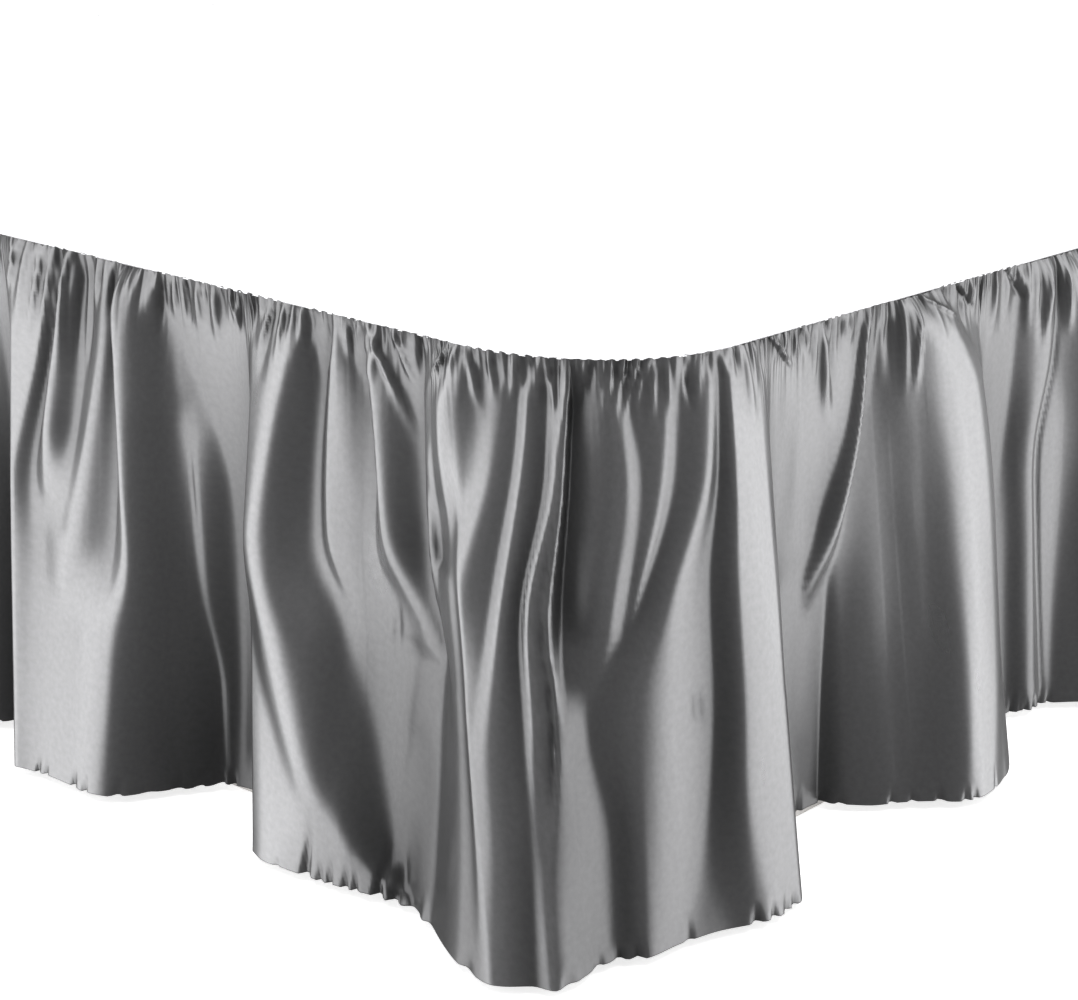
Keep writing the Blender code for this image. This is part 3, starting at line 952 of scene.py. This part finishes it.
@dataclass
class Drop:
    """The gathered satin drop: one sheet from the seam to a narrow turned hem."""

    seam: SeamLine
    seam_height: float
    hem_height: float
    near_cm: Span = (-58.0, 57.0)
    near_density: float = 3.6
    column_count: int = 1180
    column_samples: int = 20000
    column_evenness: float = 1.5
    gather_rows: int = 20
    gather_spacing: float = 1.25
    row_marks: tuple[float, ...] = (0.105, 0.5, 0.93)
    row_counts: tuple[int, ...] = (25, 22, 7)
    hem_rows: tuple[float, ...] = (1.0, 0.9, 0.5, 0.08, 0.0)
    lift_from: float = 0.9
    scallop_mm: float = 1.0
    scallop_reach: float = 0.01
    tuck_mm: float = 0.5
    near_tuck_share: float = 0.8
    hollow_step_cm: float = 0.2
    hollow_steps: int = 60
    # Painted shade: a darker band just below the seam, fading downwards, added to the mask.
    painted_seam_shade: float = 0.14
    painted_seam_shade_reach: float = 0.05

    def __post_init__(self) -> None:
        """Set up the shape and its fine detail."""
        self.shape = DropShape(self.seam)
        self.gathers = SeamGathers(self.seam)
        self.puckers = HemPuckers(self.seam)
        self.fall = self.seam_height - self.hem_height
        self.hem_share = HEM_BAND_MM * MM / self.fall

    def heights(self) -> list[float]:
        """Choose the heights of the mesh rows.

        Returns:
            The heights, closer together at the gathers and at the hem.
        """
        first, count = self.row_marks[0], self.gather_rows
        heights = [first * (number / count) ** self.gather_spacing for number in range(count)]
        marks = self.row_marks + (1 - self.hem_share,)
        for low, high, steps in zip(marks, marks[1:], self.row_counts):
            heights += list(np.linspace(low, high, steps + 1))[:-1]
        return heights + [1 - self.hem_share * share for share in self.hem_rows]

    def columns(self) -> np.ndarray:
        """Choose the columns of the mesh.

        Returns:
            Their places at the seam, even along the cloth and closer on the near stretch.
        """
        fine = np.linspace(self.seam.start_cm, self.seam.end_cm, self.column_samples)
        hem = self.shape.level(fine, 1.0)
        steps = np.linalg.norm(np.diff(hem, axis=0), axis=1) / CM + self.column_evenness * np.diff(fine)
        middle = (fine[:-1] + fine[1:]) / 2
        near = (middle > self.near_cm[0]) & (middle < self.near_cm[1])
        length = np.concatenate([[0.0], np.cumsum(steps * np.where(near, self.near_density, 1.0))])
        return np.interp(np.linspace(0.0, length[-1], self.column_count), length, fine)

    def row(self, columns: np.ndarray, height: float) -> tuple[np.ndarray, np.ndarray]:
        """Find one row of the sheet.

        Args:
            columns: The columns' places at the seam.
            height: The height of the row.

        Returns:
            The row's points, and the mask of painted shade at each of them, from how hollow the cloth lies.
        """
        place = self.shape.place(columns, height)
        above_mm = (1 - height) * self.fall / MM
        extra = self.gathers.rise(place, height) - self.puckers.dent(place, above_mm)
        extra -= dimple_depth(place, height)
        # The mask of painted shade: how hollow the cloth lies, which the satin turns into darker colour.
        painted_shade_mask = self.painted_shade_mask(place, self.shape.out(columns, place, height) + extra, height)
        plan = self.shape.level(columns, height, extra)
        lift = self.puckers.edge_lift(place) * smooth_step(self.lift_from, 1, height) * MM
        near_seam = math.exp(-height / self.scallop_reach)
        scallop = self.scallop_mm * self.gathers.pleat_wave(place) * near_seam * MM
        z = self.seam_height - self.fall * height + lift + scallop
        if height == 0:
            z -= self.tuck_mm * (1 - self.near_tuck_share * self.gathers.nearness(place)) * MM
        return np.column_stack([plan, z]), painted_shade_mask

    def painted_shade_mask(self, place_cm: np.ndarray, out_mm: np.ndarray, height: float) -> np.ndarray:
        """Find the mask of painted shade: how much of the open side the neighbouring folds hide from the
        cloth.

        Args:
            place_cm: Places along the seam.
            out_mm: How far the cloth stands out there.
            height: The height of the row.

        Returns:
            Shares from 0 on an open crest towards 1 in a deep groove, raised by painted shade in a band just
            below the seam.
        """
        step_cm = self.hollow_step_cm
        even = np.arange(place_cm[0], place_cm[-1], step_cm)
        values = np.interp(even, place_cm, out_mm)
        before, after = np.zeros(len(even)), np.zeros(len(even))
        for reach in range(1, self.hollow_steps):
            rise = (values[reach:] - values[:-reach]) / (reach * step_cm * CM / MM)
            after[:-reach] = np.maximum(after[:-reach], rise)
            before[reach:] = np.maximum(before[reach:], -rise)
        hidden = (np.arctan(before) + np.arctan(after)) / math.pi
        # Painted shade in a band just below the seam, fading downwards.
        painted_seam_band = self.painted_seam_shade * math.exp(-height / self.painted_seam_shade_reach)
        return np.interp(place_cm, even, hidden) + painted_seam_band

    def turned_hem(self, columns: np.ndarray) -> list[np.ndarray]:
        """Lay the rows of the hem's turned-up inside.

        Args:
            columns: The columns' places at the seam.

        Returns:
            The points of each row.
        """
        edge, _ = self.row(columns, 1.0)
        ahead = np.gradient(edge[:, :2], axis=0)
        ahead /= np.linalg.norm(ahead, axis=1)[:, None]
        inward = np.stack([-ahead[:, 1], ahead[:, 0], np.zeros(len(ahead))], axis=1)
        rows = []
        for turn in HEM_TURNS:
            line, _ = self.row(columns, 1 - turn.band_share * self.hem_share)
            rows.append(line + inward * turn.inset_mm * MM + np.array([0.0, 0.0, turn.lift_mm * MM]))
        return rows

    def build(self) -> bpy.types.Object:
        """Build the sheet's mesh.

        Returns:
            The drop's object, with a map of the flat cloth in metres and the mask of painted shade at its
            points.
        """
        columns = self.columns()
        heights = self.heights()
        rows, painted_shade_masks = map(list, zip(*(self.row(columns, height) for height in heights)))
        painted_shade_masks += [painted_shade_masks[-1]] * len(HEM_TURNS)
        across = np.concatenate([[0.0], np.cumsum(np.linalg.norm(np.diff(rows[-1], axis=0), axis=1))])
        down = [height * self.fall for height in heights]
        down += [self.fall + turn.cloth_mm * MM for turn in HEM_TURNS]
        points = np.array(rows + self.turned_hem(columns))
        index = np.arange(points.shape[0] * points.shape[1]).reshape(points.shape[:2])
        corners = (index[:-1, :-1], index[1:, :-1], index[1:, 1:], index[:-1, 1:])
        quads = np.stack(corners, axis=-1).reshape(-1, 4)
        piece = add_mesh("drop_sheet", points.reshape(-1, 3).tolist(), quads.tolist())
        cloth_map = piece.data.uv_layers.new(name=ClothMap.SHEET.value)
        flat = np.stack(np.broadcast_arrays(across[None, :], np.array(down)[:, None]), axis=-1).reshape(-1, 2)
        cloth_map.data.foreach_set("uv", flat[quads.reshape(-1)].astype(np.float32).reshape(-1))
        # Store the mask of painted shade, which darkens the satin's colour.
        depth_and_painted_shade = piece.data.attributes.new(PAINTED_SHADE_ATTRIBUTE, "FLOAT", "POINT")
        depth_and_painted_shade.data.foreach_set("value", np.array(painted_shade_masks, np.float32).reshape(-1))
        piece.data.shade_smooth()
        self.cloth_length = float(across[-1])
        return piece

    def dress(self, piece: bpy.types.Object, satin: bpy.types.Material) -> None:
        """Args:
            piece: The drop's object.
            satin: Its material.
        """
        piece.data.materials.append(satin)
        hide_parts("drop")
        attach(piece, "root")


class Nodes:
    """A small hand for laying out shader nodes."""

    def __init__(self, tree: bpy.types.NodeTree) -> None:
        """Start on a node tree."""
        self.tree = tree

    def add(self, kind: str, settings: dict | None = None, **inputs: object) -> bpy.types.Node:
        """Add a node.

        Args:
            kind: The node's type name.
            settings: Attributes to set on the node.
            **inputs: Values or output sockets for its inputs, with underscores for spaces.

        Returns:
            The new node.
        """
        node = self.tree.nodes.new(kind)
        for name, value in (settings or {}).items():
            setattr(node, name, value)
        for name, value in inputs.items():
            self.feed(node.inputs[name.replace("_", " ")], value)
        return node

    def feed(self, socket: bpy.types.NodeSocket, value: object) -> None:
        """Link an output to an input socket, or set the input's value.

        Args:
            socket: The input socket.
            value: The output socket or the plain value.
        """
        if isinstance(value, bpy.types.NodeSocket):
            self.tree.links.new(value, socket)
        else:
            socket.default_value = value

    def math(self, operation: str, first: object, second: object = 0.0) -> bpy.types.NodeSocket:
        """Add a Math node.

        Args:
            operation: What it works out.
            first: Its first value or output socket.
            second: Its second one.

        Returns:
            Its output.
        """
        node = self.add("ShaderNodeMath", {"operation": operation})
        self.feed(node.inputs[0], first)
        self.feed(node.inputs[1], second)
        return node.outputs[0]

    def stretch(self, vector: bpy.types.NodeSocket, factors: tuple[float, ...]) -> bpy.types.NodeSocket:
        """Multiply each part of a vector by its own factor.

        Args:
            vector: The vector's output socket.
            factors: The three factors.

        Returns:
            The output socket of the product.
        """
        node = self.add("ShaderNodeVectorMath", {"operation": "MULTIPLY"})
        self.feed(node.inputs[0], vector)
        self.feed(node.inputs[1], factors)
        return node.outputs[0]


def new_group(name: str, inputs: dict[str, object], outputs: Sequence[str]) -> bpy.types.NodeTree:
    """Make an empty shader node group.

    Args:
        name: The group's name.
        inputs: Each input's name, with its default number or the word VECTOR.
        outputs: Each output's name.

    Returns:
        The group, with its input and output nodes placed.
    """
    group = bpy.data.node_groups.new(name, "ShaderNodeTree")
    for label, default in inputs.items():
        kind = "NodeSocketVector" if default == "VECTOR" else "NodeSocketFloat"
        socket = group.interface.new_socket(name=label, in_out="INPUT", socket_type=kind)
        if default != "VECTOR":
            socket.default_value = default
    for label in outputs:
        group.interface.new_socket(name=label, in_out="OUTPUT", socket_type="NodeSocketFloat")
    group.nodes.new("NodeGroupInput")
    group.nodes.new("NodeGroupOutput")
    return group


WEFT_HEIGHT = 0.8
YARN_SCALE = 220.0
YARN_DETAIL = 3.0
MOTTLE_STRETCH = (1.0, 0.35, 0.35)
MOTTLE_FINENESS = 3.0
MOTTLE_FINE_SHARE = 0.2
MOTTLE_MIDDLE = 0.6


def weave_group() -> bpy.types.NodeTree:
    """Make the group for crossed threads.

    Returns:
        The group, which gives the height of the threads and an uneven shade.
    """
    group = new_group(
        "crossed threads",
        {"Vector": "VECTOR", "Threads": 1000.0, "Unevenness": 0.3},
        ("Height", "Shade"),
    )
    nodes = Nodes(group)
    start, end = group.nodes["Group Input"], group.nodes["Group Output"]
    split = nodes.add("ShaderNodeSeparateXYZ", Vector=start.outputs["Vector"])
    waves = []
    for axis in ("X", "Y"):
        turns = nodes.math("MULTIPLY", split.outputs[axis], start.outputs["Threads"])
        angle = nodes.math("MULTIPLY", turns, 2 * math.pi)
        waves.append(nodes.math("ABSOLUTE", nodes.math("SINE", angle)))
    height = nodes.math("MAXIMUM", waves[0], nodes.math("MULTIPLY", waves[1], WEFT_HEIGHT))
    noise = nodes.add("ShaderNodeTexNoise", Vector=start.outputs["Vector"], Scale=YARN_SCALE,
                      Detail=YARN_DETAIL)
    spread = nodes.math("SUBTRACT", noise.outputs["Fac"], 0.5)
    uneven = nodes.math("MULTIPLY", spread, start.outputs["Unevenness"])
    group.links.new(nodes.math("ADD", height, uneven), end.inputs["Height"])
    group.links.new(nodes.math("ADD", 1.0, uneven), end.inputs["Shade"])
    return group


def mottle_group() -> bpy.types.NodeTree:
    """Make the group for the slow, soft change of a cloth from place to place.

    Returns:
        The group, which gives a shade and a swell.
    """
    group = new_group(
        "soft mottle",
        {"Vector": "VECTOR", "Size": 6.0, "Amount": 0.1},
        ("Shade", "Swell"),
    )
    nodes = Nodes(group)
    start, end = group.nodes["Group Input"], group.nodes["Group Output"]
    drawn = nodes.stretch(start.outputs["Vector"], MOTTLE_STRETCH)
    wide = nodes.add("ShaderNodeTexNoise", Vector=drawn, Scale=start.outputs["Size"], Detail=1.0)
    fine_size = nodes.math("MULTIPLY", start.outputs["Size"], MOTTLE_FINENESS)
    fine = nodes.add("ShaderNodeTexNoise", Vector=drawn, Scale=fine_size, Detail=0.0)
    fine_part = nodes.math("MULTIPLY", fine.outputs["Fac"], MOTTLE_FINE_SHARE)
    both = nodes.math("ADD", wide.outputs["Fac"], fine_part)
    centred = nodes.math("SUBTRACT", both, MOTTLE_MIDDLE)
    swing = nodes.math("MULTIPLY", centred, start.outputs["Amount"])
    group.links.new(nodes.math("ADD", 1.0, swing), end.inputs["Shade"])
    group.links.new(both, end.inputs["Swell"])
    return group


class ClothMap(Enum):
    """Where a cloth's threads get their coordinates."""

    SHEET = "cloth"
    OBJECT = "object"


@dataclass(frozen=True)
class ClothFinish:
    """A woven finish: a Principled shader with threads, mottle and a fine bump, and for the satin painted
    shade that darkens its colour in the cloth's hollows.
    """

    name: str
    colour: tuple[float, float, float]
    roughness: float
    metallic: float
    threads: float
    thread_bump_mm: float
    mottle_size: float
    mottle: float
    swell_mm: float
    cloth_map: ClothMap
    sheen: float = 0.0
    # How strongly painted shade darkens the colour in the hollows, and the least share of the colour that it
    # leaves.
    painted_hollow_shade: float = 0.0
    least_unshaded: float = 0.25
    pleat_mm: float = 0.0
    pleat_reach: float = 0.03
    pleat_scale: float = 90.0
    pleat_stretch: tuple[float, float, float] = (1.0, 0.11, 1.0)

    def make(self, weave: bpy.types.NodeTree, mottle: bpy.types.NodeTree) -> bpy.types.Material:
        """Make the material.

        Args:
            weave: The crossed threads group.
            mottle: The soft mottle group.

        Returns:
            The finished material.
        """
        made = bpy.data.materials.new(self.name)
        made.use_nodes = True
        nodes = Nodes(made.node_tree)
        shader = made.node_tree.nodes["Principled BSDF"]
        place = self.place(nodes)
        threads = nodes.add("ShaderNodeGroup", {"node_tree": weave}, Vector=place, Threads=self.threads)
        cloud = nodes.add("ShaderNodeGroup", {"node_tree": mottle}, Vector=place, Size=self.mottle_size,
                          Amount=self.mottle)
        tone_and_painted_shade = nodes.math("MULTIPLY", threads.outputs["Shade"], cloud.outputs["Shade"])
        # Painted shade: the colour darkens by the mask of the drop's hollows and of the band below its seam.
        if self.painted_hollow_shade:
            painted_shade_mask = nodes.add("ShaderNodeAttribute", {"attribute_name": PAINTED_SHADE_ATTRIBUTE}).outputs["Fac"]
            painted_darkening = nodes.math("MULTIPLY", painted_shade_mask, self.painted_hollow_shade)
            unshaded_share = nodes.math("MAXIMUM", nodes.math("SUBTRACT", 1.0, painted_darkening), self.least_unshaded)
            tone_and_painted_shade = nodes.math("MULTIPLY", tone_and_painted_shade, unshaded_share)
        colour = nodes.add("ShaderNodeVectorMath", {"operation": "SCALE"}, Scale=tone_and_painted_shade)
        colour.inputs[0].default_value = self.colour
        made.node_tree.links.new(colour.outputs["Vector"], shader.inputs["Base Color"])
        rough = nodes.math("MULTIPLY", cloud.outputs["Shade"], self.roughness)
        made.node_tree.links.new(rough, shader.inputs["Roughness"])
        shader.inputs["Metallic"].default_value = self.metallic
        shader.inputs["Sheen Weight"].default_value = self.sheen
        swell = nodes.add("ShaderNodeBump", Strength=1.0, Distance=self.swell_mm * MM,
                          Height=cloud.outputs["Swell"])
        if self.pleat_mm:
            swell = nodes.add("ShaderNodeBump", Strength=1.0, Distance=self.pleat_mm * MM,
                              Height=self.pleats(nodes, place), Normal=swell.outputs["Normal"])
        bump = nodes.add("ShaderNodeBump", Strength=1.0, Distance=self.thread_bump_mm * MM,
                         Height=threads.outputs["Height"], Normal=swell.outputs["Normal"])
        made.node_tree.links.new(bump.outputs["Normal"], shader.inputs["Normal"])
        return made

    def pleats(self, nodes: Nodes, place: bpy.types.NodeSocket) -> bpy.types.NodeSocket:
        """Make the fine pleats, which run down the cloth and fade below the seam.

        Args:
            nodes: The material's nodes.
            place: The coordinates that they follow.

        Returns:
            The output socket of their height.
        """
        drawn = nodes.stretch(place, self.pleat_stretch)
        noise = nodes.add("ShaderNodeTexNoise", Vector=drawn, Scale=self.pleat_scale, Detail=1.0)
        down = nodes.add("ShaderNodeSeparateXYZ", Vector=place).outputs["Y"]
        fade = nodes.math("EXPONENT", nodes.math("MULTIPLY", down, -1.0 / self.pleat_reach))
        return nodes.math("MULTIPLY", noise.outputs["Fac"], fade)

    def place(self, nodes: Nodes) -> bpy.types.NodeSocket:
        """Find the coordinates that the threads follow.

        Args:
            nodes: The material's nodes.

        Returns:
            The output socket of the coordinates, in metres.
        """
        if self.cloth_map is ClothMap.SHEET:
            return nodes.add("ShaderNodeUVMap", {"uv_map": ClothMap.SHEET.value}).outputs["UV"]
        return nodes.add("ShaderNodeTexCoord").outputs["Object"]


# The satin's colour carries painted shade in the drop's hollows and below its seam.
SATIN = ClothFinish(
    "grey satin", colour=(0.265, 0.265, 0.27), roughness=0.28, metallic=0.85, threads=900.0,
    thread_bump_mm=0.006, mottle_size=14.0, mottle=0.10, swell_mm=2.2, cloth_map=ClothMap.SHEET,
    painted_hollow_shade=1.55, pleat_mm=6.5, pleat_reach=0.016,
)
DECK_CLOTH = ClothFinish(
    "off-white deck cloth", colour=(0.93, 0.93, 0.95), roughness=0.85, metallic=0.0, threads=700.0,
    thread_bump_mm=0.03, mottle_size=5.0, mottle=0.02, swell_mm=0.2, cloth_map=ClothMap.OBJECT, sheen=0.1,
)
BASE_COVER = ClothFinish(
    "pale base cover", colour=(0.62, 0.60, 0.58), roughness=0.9, metallic=0.0, threads=450.0,
    thread_bump_mm=0.08, mottle_size=6.0, mottle=0.08, swell_mm=0.3, cloth_map=ClothMap.OBJECT, sheen=0.15,
)


class Ripple(NamedTuple):
    """A bent wave over the deck: radians in a metre, its bend and the bend's radians, and its phase."""

    turns: float
    bend: float = 0.0
    bend_turns: float = 0.0
    phase: float = 0.0

    def at(self, along: float, across: float) -> float:
        """Return the wave's height, from -1 to 1."""
        return math.sin(along * self.turns + self.phase + self.bend * math.sin(across * self.bend_turns))


PULLED_RIPPLES = (Ripple(61.0, 2.0, 23.0), Ripple(57.0, 2.0, 19.0))
SLOW_RIPPLES = (Ripple(5.3, 1.7, 3.1), Ripple(4.7, phase=0.8))


@dataclass
class Deck:
    """The flat sheet on top of the base, which the drop is sewn to."""

    seam: SeamLine
    top: float
    head_radius: float = 0.03
    thickness_mm: float = 1.0
    edge_inset_mm: float = -0.6
    turned_share: float = 0.45
    rounding: float = 0.0004
    below_top: float = 0.0003
    rings: tuple[float, ...] = (
        0.0, 0.0006, 0.002, 0.006, 0.012, 0.02, 0.035, 0.06, 0.10, 0.16, 0.25, 0.36, 0.48, 0.60,
    )
    flat_rim: float = 0.012
    pull_reach: float = 0.05
    pull_mm: float = 0.25
    slow_mm: float = 0.35
    arc_steps: int = 36
    side_steps: int = 90

    def outline(self, inset: float) -> list[tuple[float, float]]:
        """Draw the deck's plan.

        Args:
            inset: How far the plan is drawn in.

        Returns:
            The plan's points, as one loop.
        """
        half_width, half_length = self.seam.half_width, self.seam.half_length
        corners = [
            (half_width, -half_length, self.seam.corner_radius, 270),
            (half_width, half_length, self.head_radius, 0),
            (-half_width, half_length, self.head_radius, 90),
            (-half_width, -half_length, self.seam.corner_radius, 180),
        ]
        arcs = []
        for x, y, radius, first in corners:
            centre = (x - math.copysign(radius, x), y - math.copysign(radius, y))
            reach = max(radius - inset, 0.0)
            shift = min(radius - inset, 0.0)
            middle = (centre[0] + shift * math.copysign(1, x), centre[1] + shift * math.copysign(1, y))
            for step in range(self.arc_steps + 1):
                angle = math.radians(first + 90 * step / self.arc_steps)
                arcs.append((middle[0] + reach * math.cos(angle), middle[1] + reach * math.sin(angle)))
        loop = []
        for number, (x, y) in enumerate(arcs):
            loop.append((x, y))
            if number % (self.arc_steps + 1) == self.arc_steps:
                end_x, end_y = arcs[(number + 1) % len(arcs)]
                for step in range(1, self.side_steps):
                    share = step / self.side_steps
                    loop.append((x + (end_x - x) * share, y + (end_y - y) * share))
        return loop

    def ripple(self, x: float, y: float, inset: float) -> float:
        """Find the height of the cloth's faint ripples, which the gathers pull in along the seam.

        Args:
            x: The place across the bed.
            y: The place along the bed.
            inset: How far the place lies inside the seam.

        Returns:
            The height, in metres.
        """
        fade = math.exp(-inset / self.pull_reach)
        pulled = PULLED_RIPPLES[0].at(x, y) * PULLED_RIPPLES[1].at(y, x)
        slow = 0.5 + 0.5 * SLOW_RIPPLES[0].at(x, y) * SLOW_RIPPLES[1].at(y, x)
        return (self.pull_mm * fade * pulled + self.slow_mm * slow * (1 - fade)) * MM

    def build(self) -> bpy.types.Object:
        """Build the deck's sheet.

        Returns:
            The deck's object, with its edge turned down at the seam.
        """
        points, quads = [], []
        edge = self.edge_inset_mm * MM
        for share in (1, self.turned_share):
            points += [(x, y, self.top - share * self.thickness_mm * MM) for x, y in self.outline(edge)]
        for ring in self.rings:
            inset = edge + self.rounding + ring
            shown = float(smooth_step(0, self.flat_rim, ring))
            points += [
                (x, y, self.top - self.below_top + self.ripple(x, y, inset) * shown)
                for x, y in self.outline(inset)
            ]
        size = len(self.outline(edge))
        count = len(points) // size
        for first in range(0, (count - 1) * size, size):
            for i in range(size):
                j = (i + 1) % size
                quads.append((first + i, first + j, first + size + j, first + size + i))
        quads.append(tuple(range((count - 1) * size, count * size)))
        piece = add_mesh("deck_sheet", points, quads)
        piece.data.shade_smooth()
        return piece

    def dress(self, piece: bpy.types.Object, cloth: bpy.types.Material) -> None:
        """Args:
            piece: The deck's object.
            cloth: Its material.
        """
        piece.data.materials.append(cloth)
        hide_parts("deck")
        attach(piece, "root")


@dataclass(frozen=True)
class Softbox:
    """A tall light that stands round the corner of the bed, brightest in the middle of its width."""

    name: str
    azimuth_deg: float
    half_angle_deg: float
    distance: float
    middle_height: float = 0.3
    height: float = 3.8
    edge_deg: float = 8.0
    layer_gap: float = 0.05
    radiance: float = 2.37
    layer_shares: tuple[float, ...] = (0.46, 0.32, 0.22)

    def place(self, aim: Vector) -> None:
        """Stand the light's layers one behind the other.

        Args:
            aim: The point in plan that they are turned towards.
        """
        turn = math.radians(self.azimuth_deg)
        outward = Vector((math.sin(turn), -math.cos(turn), 0.0))
        for layer, share in enumerate(self.layer_shares):
            distance = self.distance + self.layer_gap * layer
            half_angle = math.radians(self.half_angle_deg + self.edge_deg * (layer - 1))
            lamp = bpy.data.lights.new(f"{self.name} {layer + 1}", "AREA")
            lamp.shape = "RECTANGLE"
            lamp.size = 2 * distance * math.tan(half_angle)
            lamp.size_y = self.height
            lamp.energy = self.radiance * share * math.pi * lamp.size * lamp.size_y
            stand = add_object(lamp.name, lamp)
            stand.location = Vector((aim.x, aim.y, self.middle_height)) + outward * distance
            stand.rotation_euler = (-outward).to_track_quat("-Z", "Y").to_euler()


SOFTBOXES = (
    Softbox("left softbox", azimuth_deg=-42.0, half_angle_deg=34.5, distance=3.1),
    Softbox("right softbox", azimuth_deg=137.0, half_angle_deg=28.5, distance=3.4),
)


@dataclass
class Studio:
    """The pale floor and the soft light."""

    floor_size: float = 60.0
    floor_grey: float = 0.92
    floor_roughness: float = 0.95
    sky_strength: float = 3.3
    sky_angle_deg: float = 70.0
    fill: float = 0.20
    floor_glow: float = 0.75

    def build(self, aim: Vector) -> None:
        """Lay the floor, and set the lights and the backdrop.

        Args:
            aim: The point that the lights stand round.
        """
        half = self.floor_size / 2
        corners = [(-half, -half, 0), (half, -half, 0), (half, half, 0), (-half, half, 0)]
        floor = add_mesh("studio_floor", corners, [(0, 1, 2, 3)])
        paint = bpy.data.materials.new("studio floor")
        paint.use_nodes = True
        shader = paint.node_tree.nodes["Principled BSDF"]
        shader.inputs["Base Color"].default_value = (*[self.floor_grey] * 3, 1.0)
        shader.inputs["Roughness"].default_value = self.floor_roughness
        shader.inputs["Emission Color"].default_value = (1.0, 1.0, 1.0, 1.0)
        shader.inputs["Emission Strength"].default_value = self.floor_glow
        floor.data.materials.append(paint)
        floor.visible_glossy = False
        floor.visible_shadow = False
        for softbox in SOFTBOXES:
            softbox.place(aim)
        sky = bpy.data.lights.new("sky", "SUN")
        sky.energy = self.sky_strength
        sky.angle = math.radians(self.sky_angle_deg)
        add_object("sky", sky)
        self.build_world()
        bpy.context.scene.view_settings.view_transform = "Standard"

    def build_world(self) -> None:
        """Make the backdrop white to the camera and dim to everything else."""
        world = bpy.data.worlds.new("studio")
        world.use_nodes = True
        bpy.context.scene.world = world
        tree = world.node_tree
        nodes = Nodes(tree)
        seen = nodes.add("ShaderNodeLightPath").outputs["Is Camera Ray"]
        strength = nodes.math("ADD", self.fill, nodes.math("MULTIPLY", seen, 1.0 - self.fill))
        background = tree.nodes["Background"]
        background.inputs["Color"].default_value = (1.0, 1.0, 1.0, 1.0)
        tree.links.new(strength, background.inputs["Strength"])


@dataclass(frozen=True)
class CornerCamera:
    """The camera, placed from the foot corner at +X, -Y."""

    offset: tuple[float, float, float] = (0.973, -1.255, 0.799)
    yaw_deg: float = 39.29
    pitch_deg: float = 17.45
    roll_deg: float = 1.98
    focal_px: float = 2632.0
    frame_width_px: float = 1078.0
    sensor_mm: float = 36.0

    def place(self, corner: Vector) -> None:
        """Make the camera, and set it as the scene's.

        Args:
            corner: The point on the floor that the camera is placed from.
        """
        yaw, pitch, roll = (math.radians(a) for a in (self.yaw_deg, self.pitch_deg, self.roll_deg))
        level_right = Vector((math.cos(yaw), math.sin(yaw), 0.0))
        level_ahead = Vector((-math.sin(yaw), math.cos(yaw), 0.0))
        up = Vector((0.0, 0.0, 1.0))
        ahead = level_ahead * math.cos(pitch) - up * math.sin(pitch)
        level_up = level_ahead * math.sin(pitch) + up * math.cos(pitch)
        right = level_right * math.cos(roll) + level_up * math.sin(roll)
        top = level_up * math.cos(roll) - level_right * math.sin(roll)
        camera = add_object("camera", bpy.data.cameras.new("camera"))
        camera.data.sensor_width = self.sensor_mm
        camera.data.lens = self.focal_px * self.sensor_mm / self.frame_width_px
        turn = Matrix((right, top, -ahead)).transposed()
        camera.matrix_world = Matrix.Translation(corner + Vector(self.offset)) @ turn.to_4x4()
        bpy.context.scene.camera = camera


def main() -> None:
    """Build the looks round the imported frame, piece by piece."""
    logging.basicConfig(level=logging.INFO, format="%(name)s: %(message)s")
    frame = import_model()
    _, deck_high = (Vector(corner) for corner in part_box("deck"))
    _, base_high = (Vector(corner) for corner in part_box("bed_base"))
    drop_low, _ = (Vector(corner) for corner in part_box("drop"))
    seam = SeamLine(half_width=base_high.x + SEAM_OVERHANG, half_length=base_high.y + SEAM_OVERHANG)
    weave, mottle = weave_group(), mottle_group()

    drop = Drop(seam, seam_height=deck_high.z, hem_height=drop_low.z)
    drop_sheet = drop.build()
    deck = Deck(seam, top=deck_high.z)
    deck_sheet = deck.build()
    deck.dress(deck_sheet, DECK_CLOTH.make(weave, mottle))
    log.info("deck_sheet: %d faces in %s", len(deck_sheet.data.polygons), DECK_CLOTH.name)
    drop.dress(drop_sheet, SATIN.make(weave, mottle))
    faces = len(drop_sheet.data.polygons)
    log.info("drop_sheet: %d faces and %.2f m of cloth in %s", faces, drop.cloth_length, SATIN.name)
    frame["nodes"]["bed_base"].material_slots[0].material = BASE_COVER.make(weave, mottle)
    log.info("bed_base: the packed solid in %s", BASE_COVER.name)

    corner = Vector((seam.half_width, -seam.half_length, 0.0))
    Studio().build(corner)
    CornerCamera().place(corner)


if __name__ == "__main__":
    main()
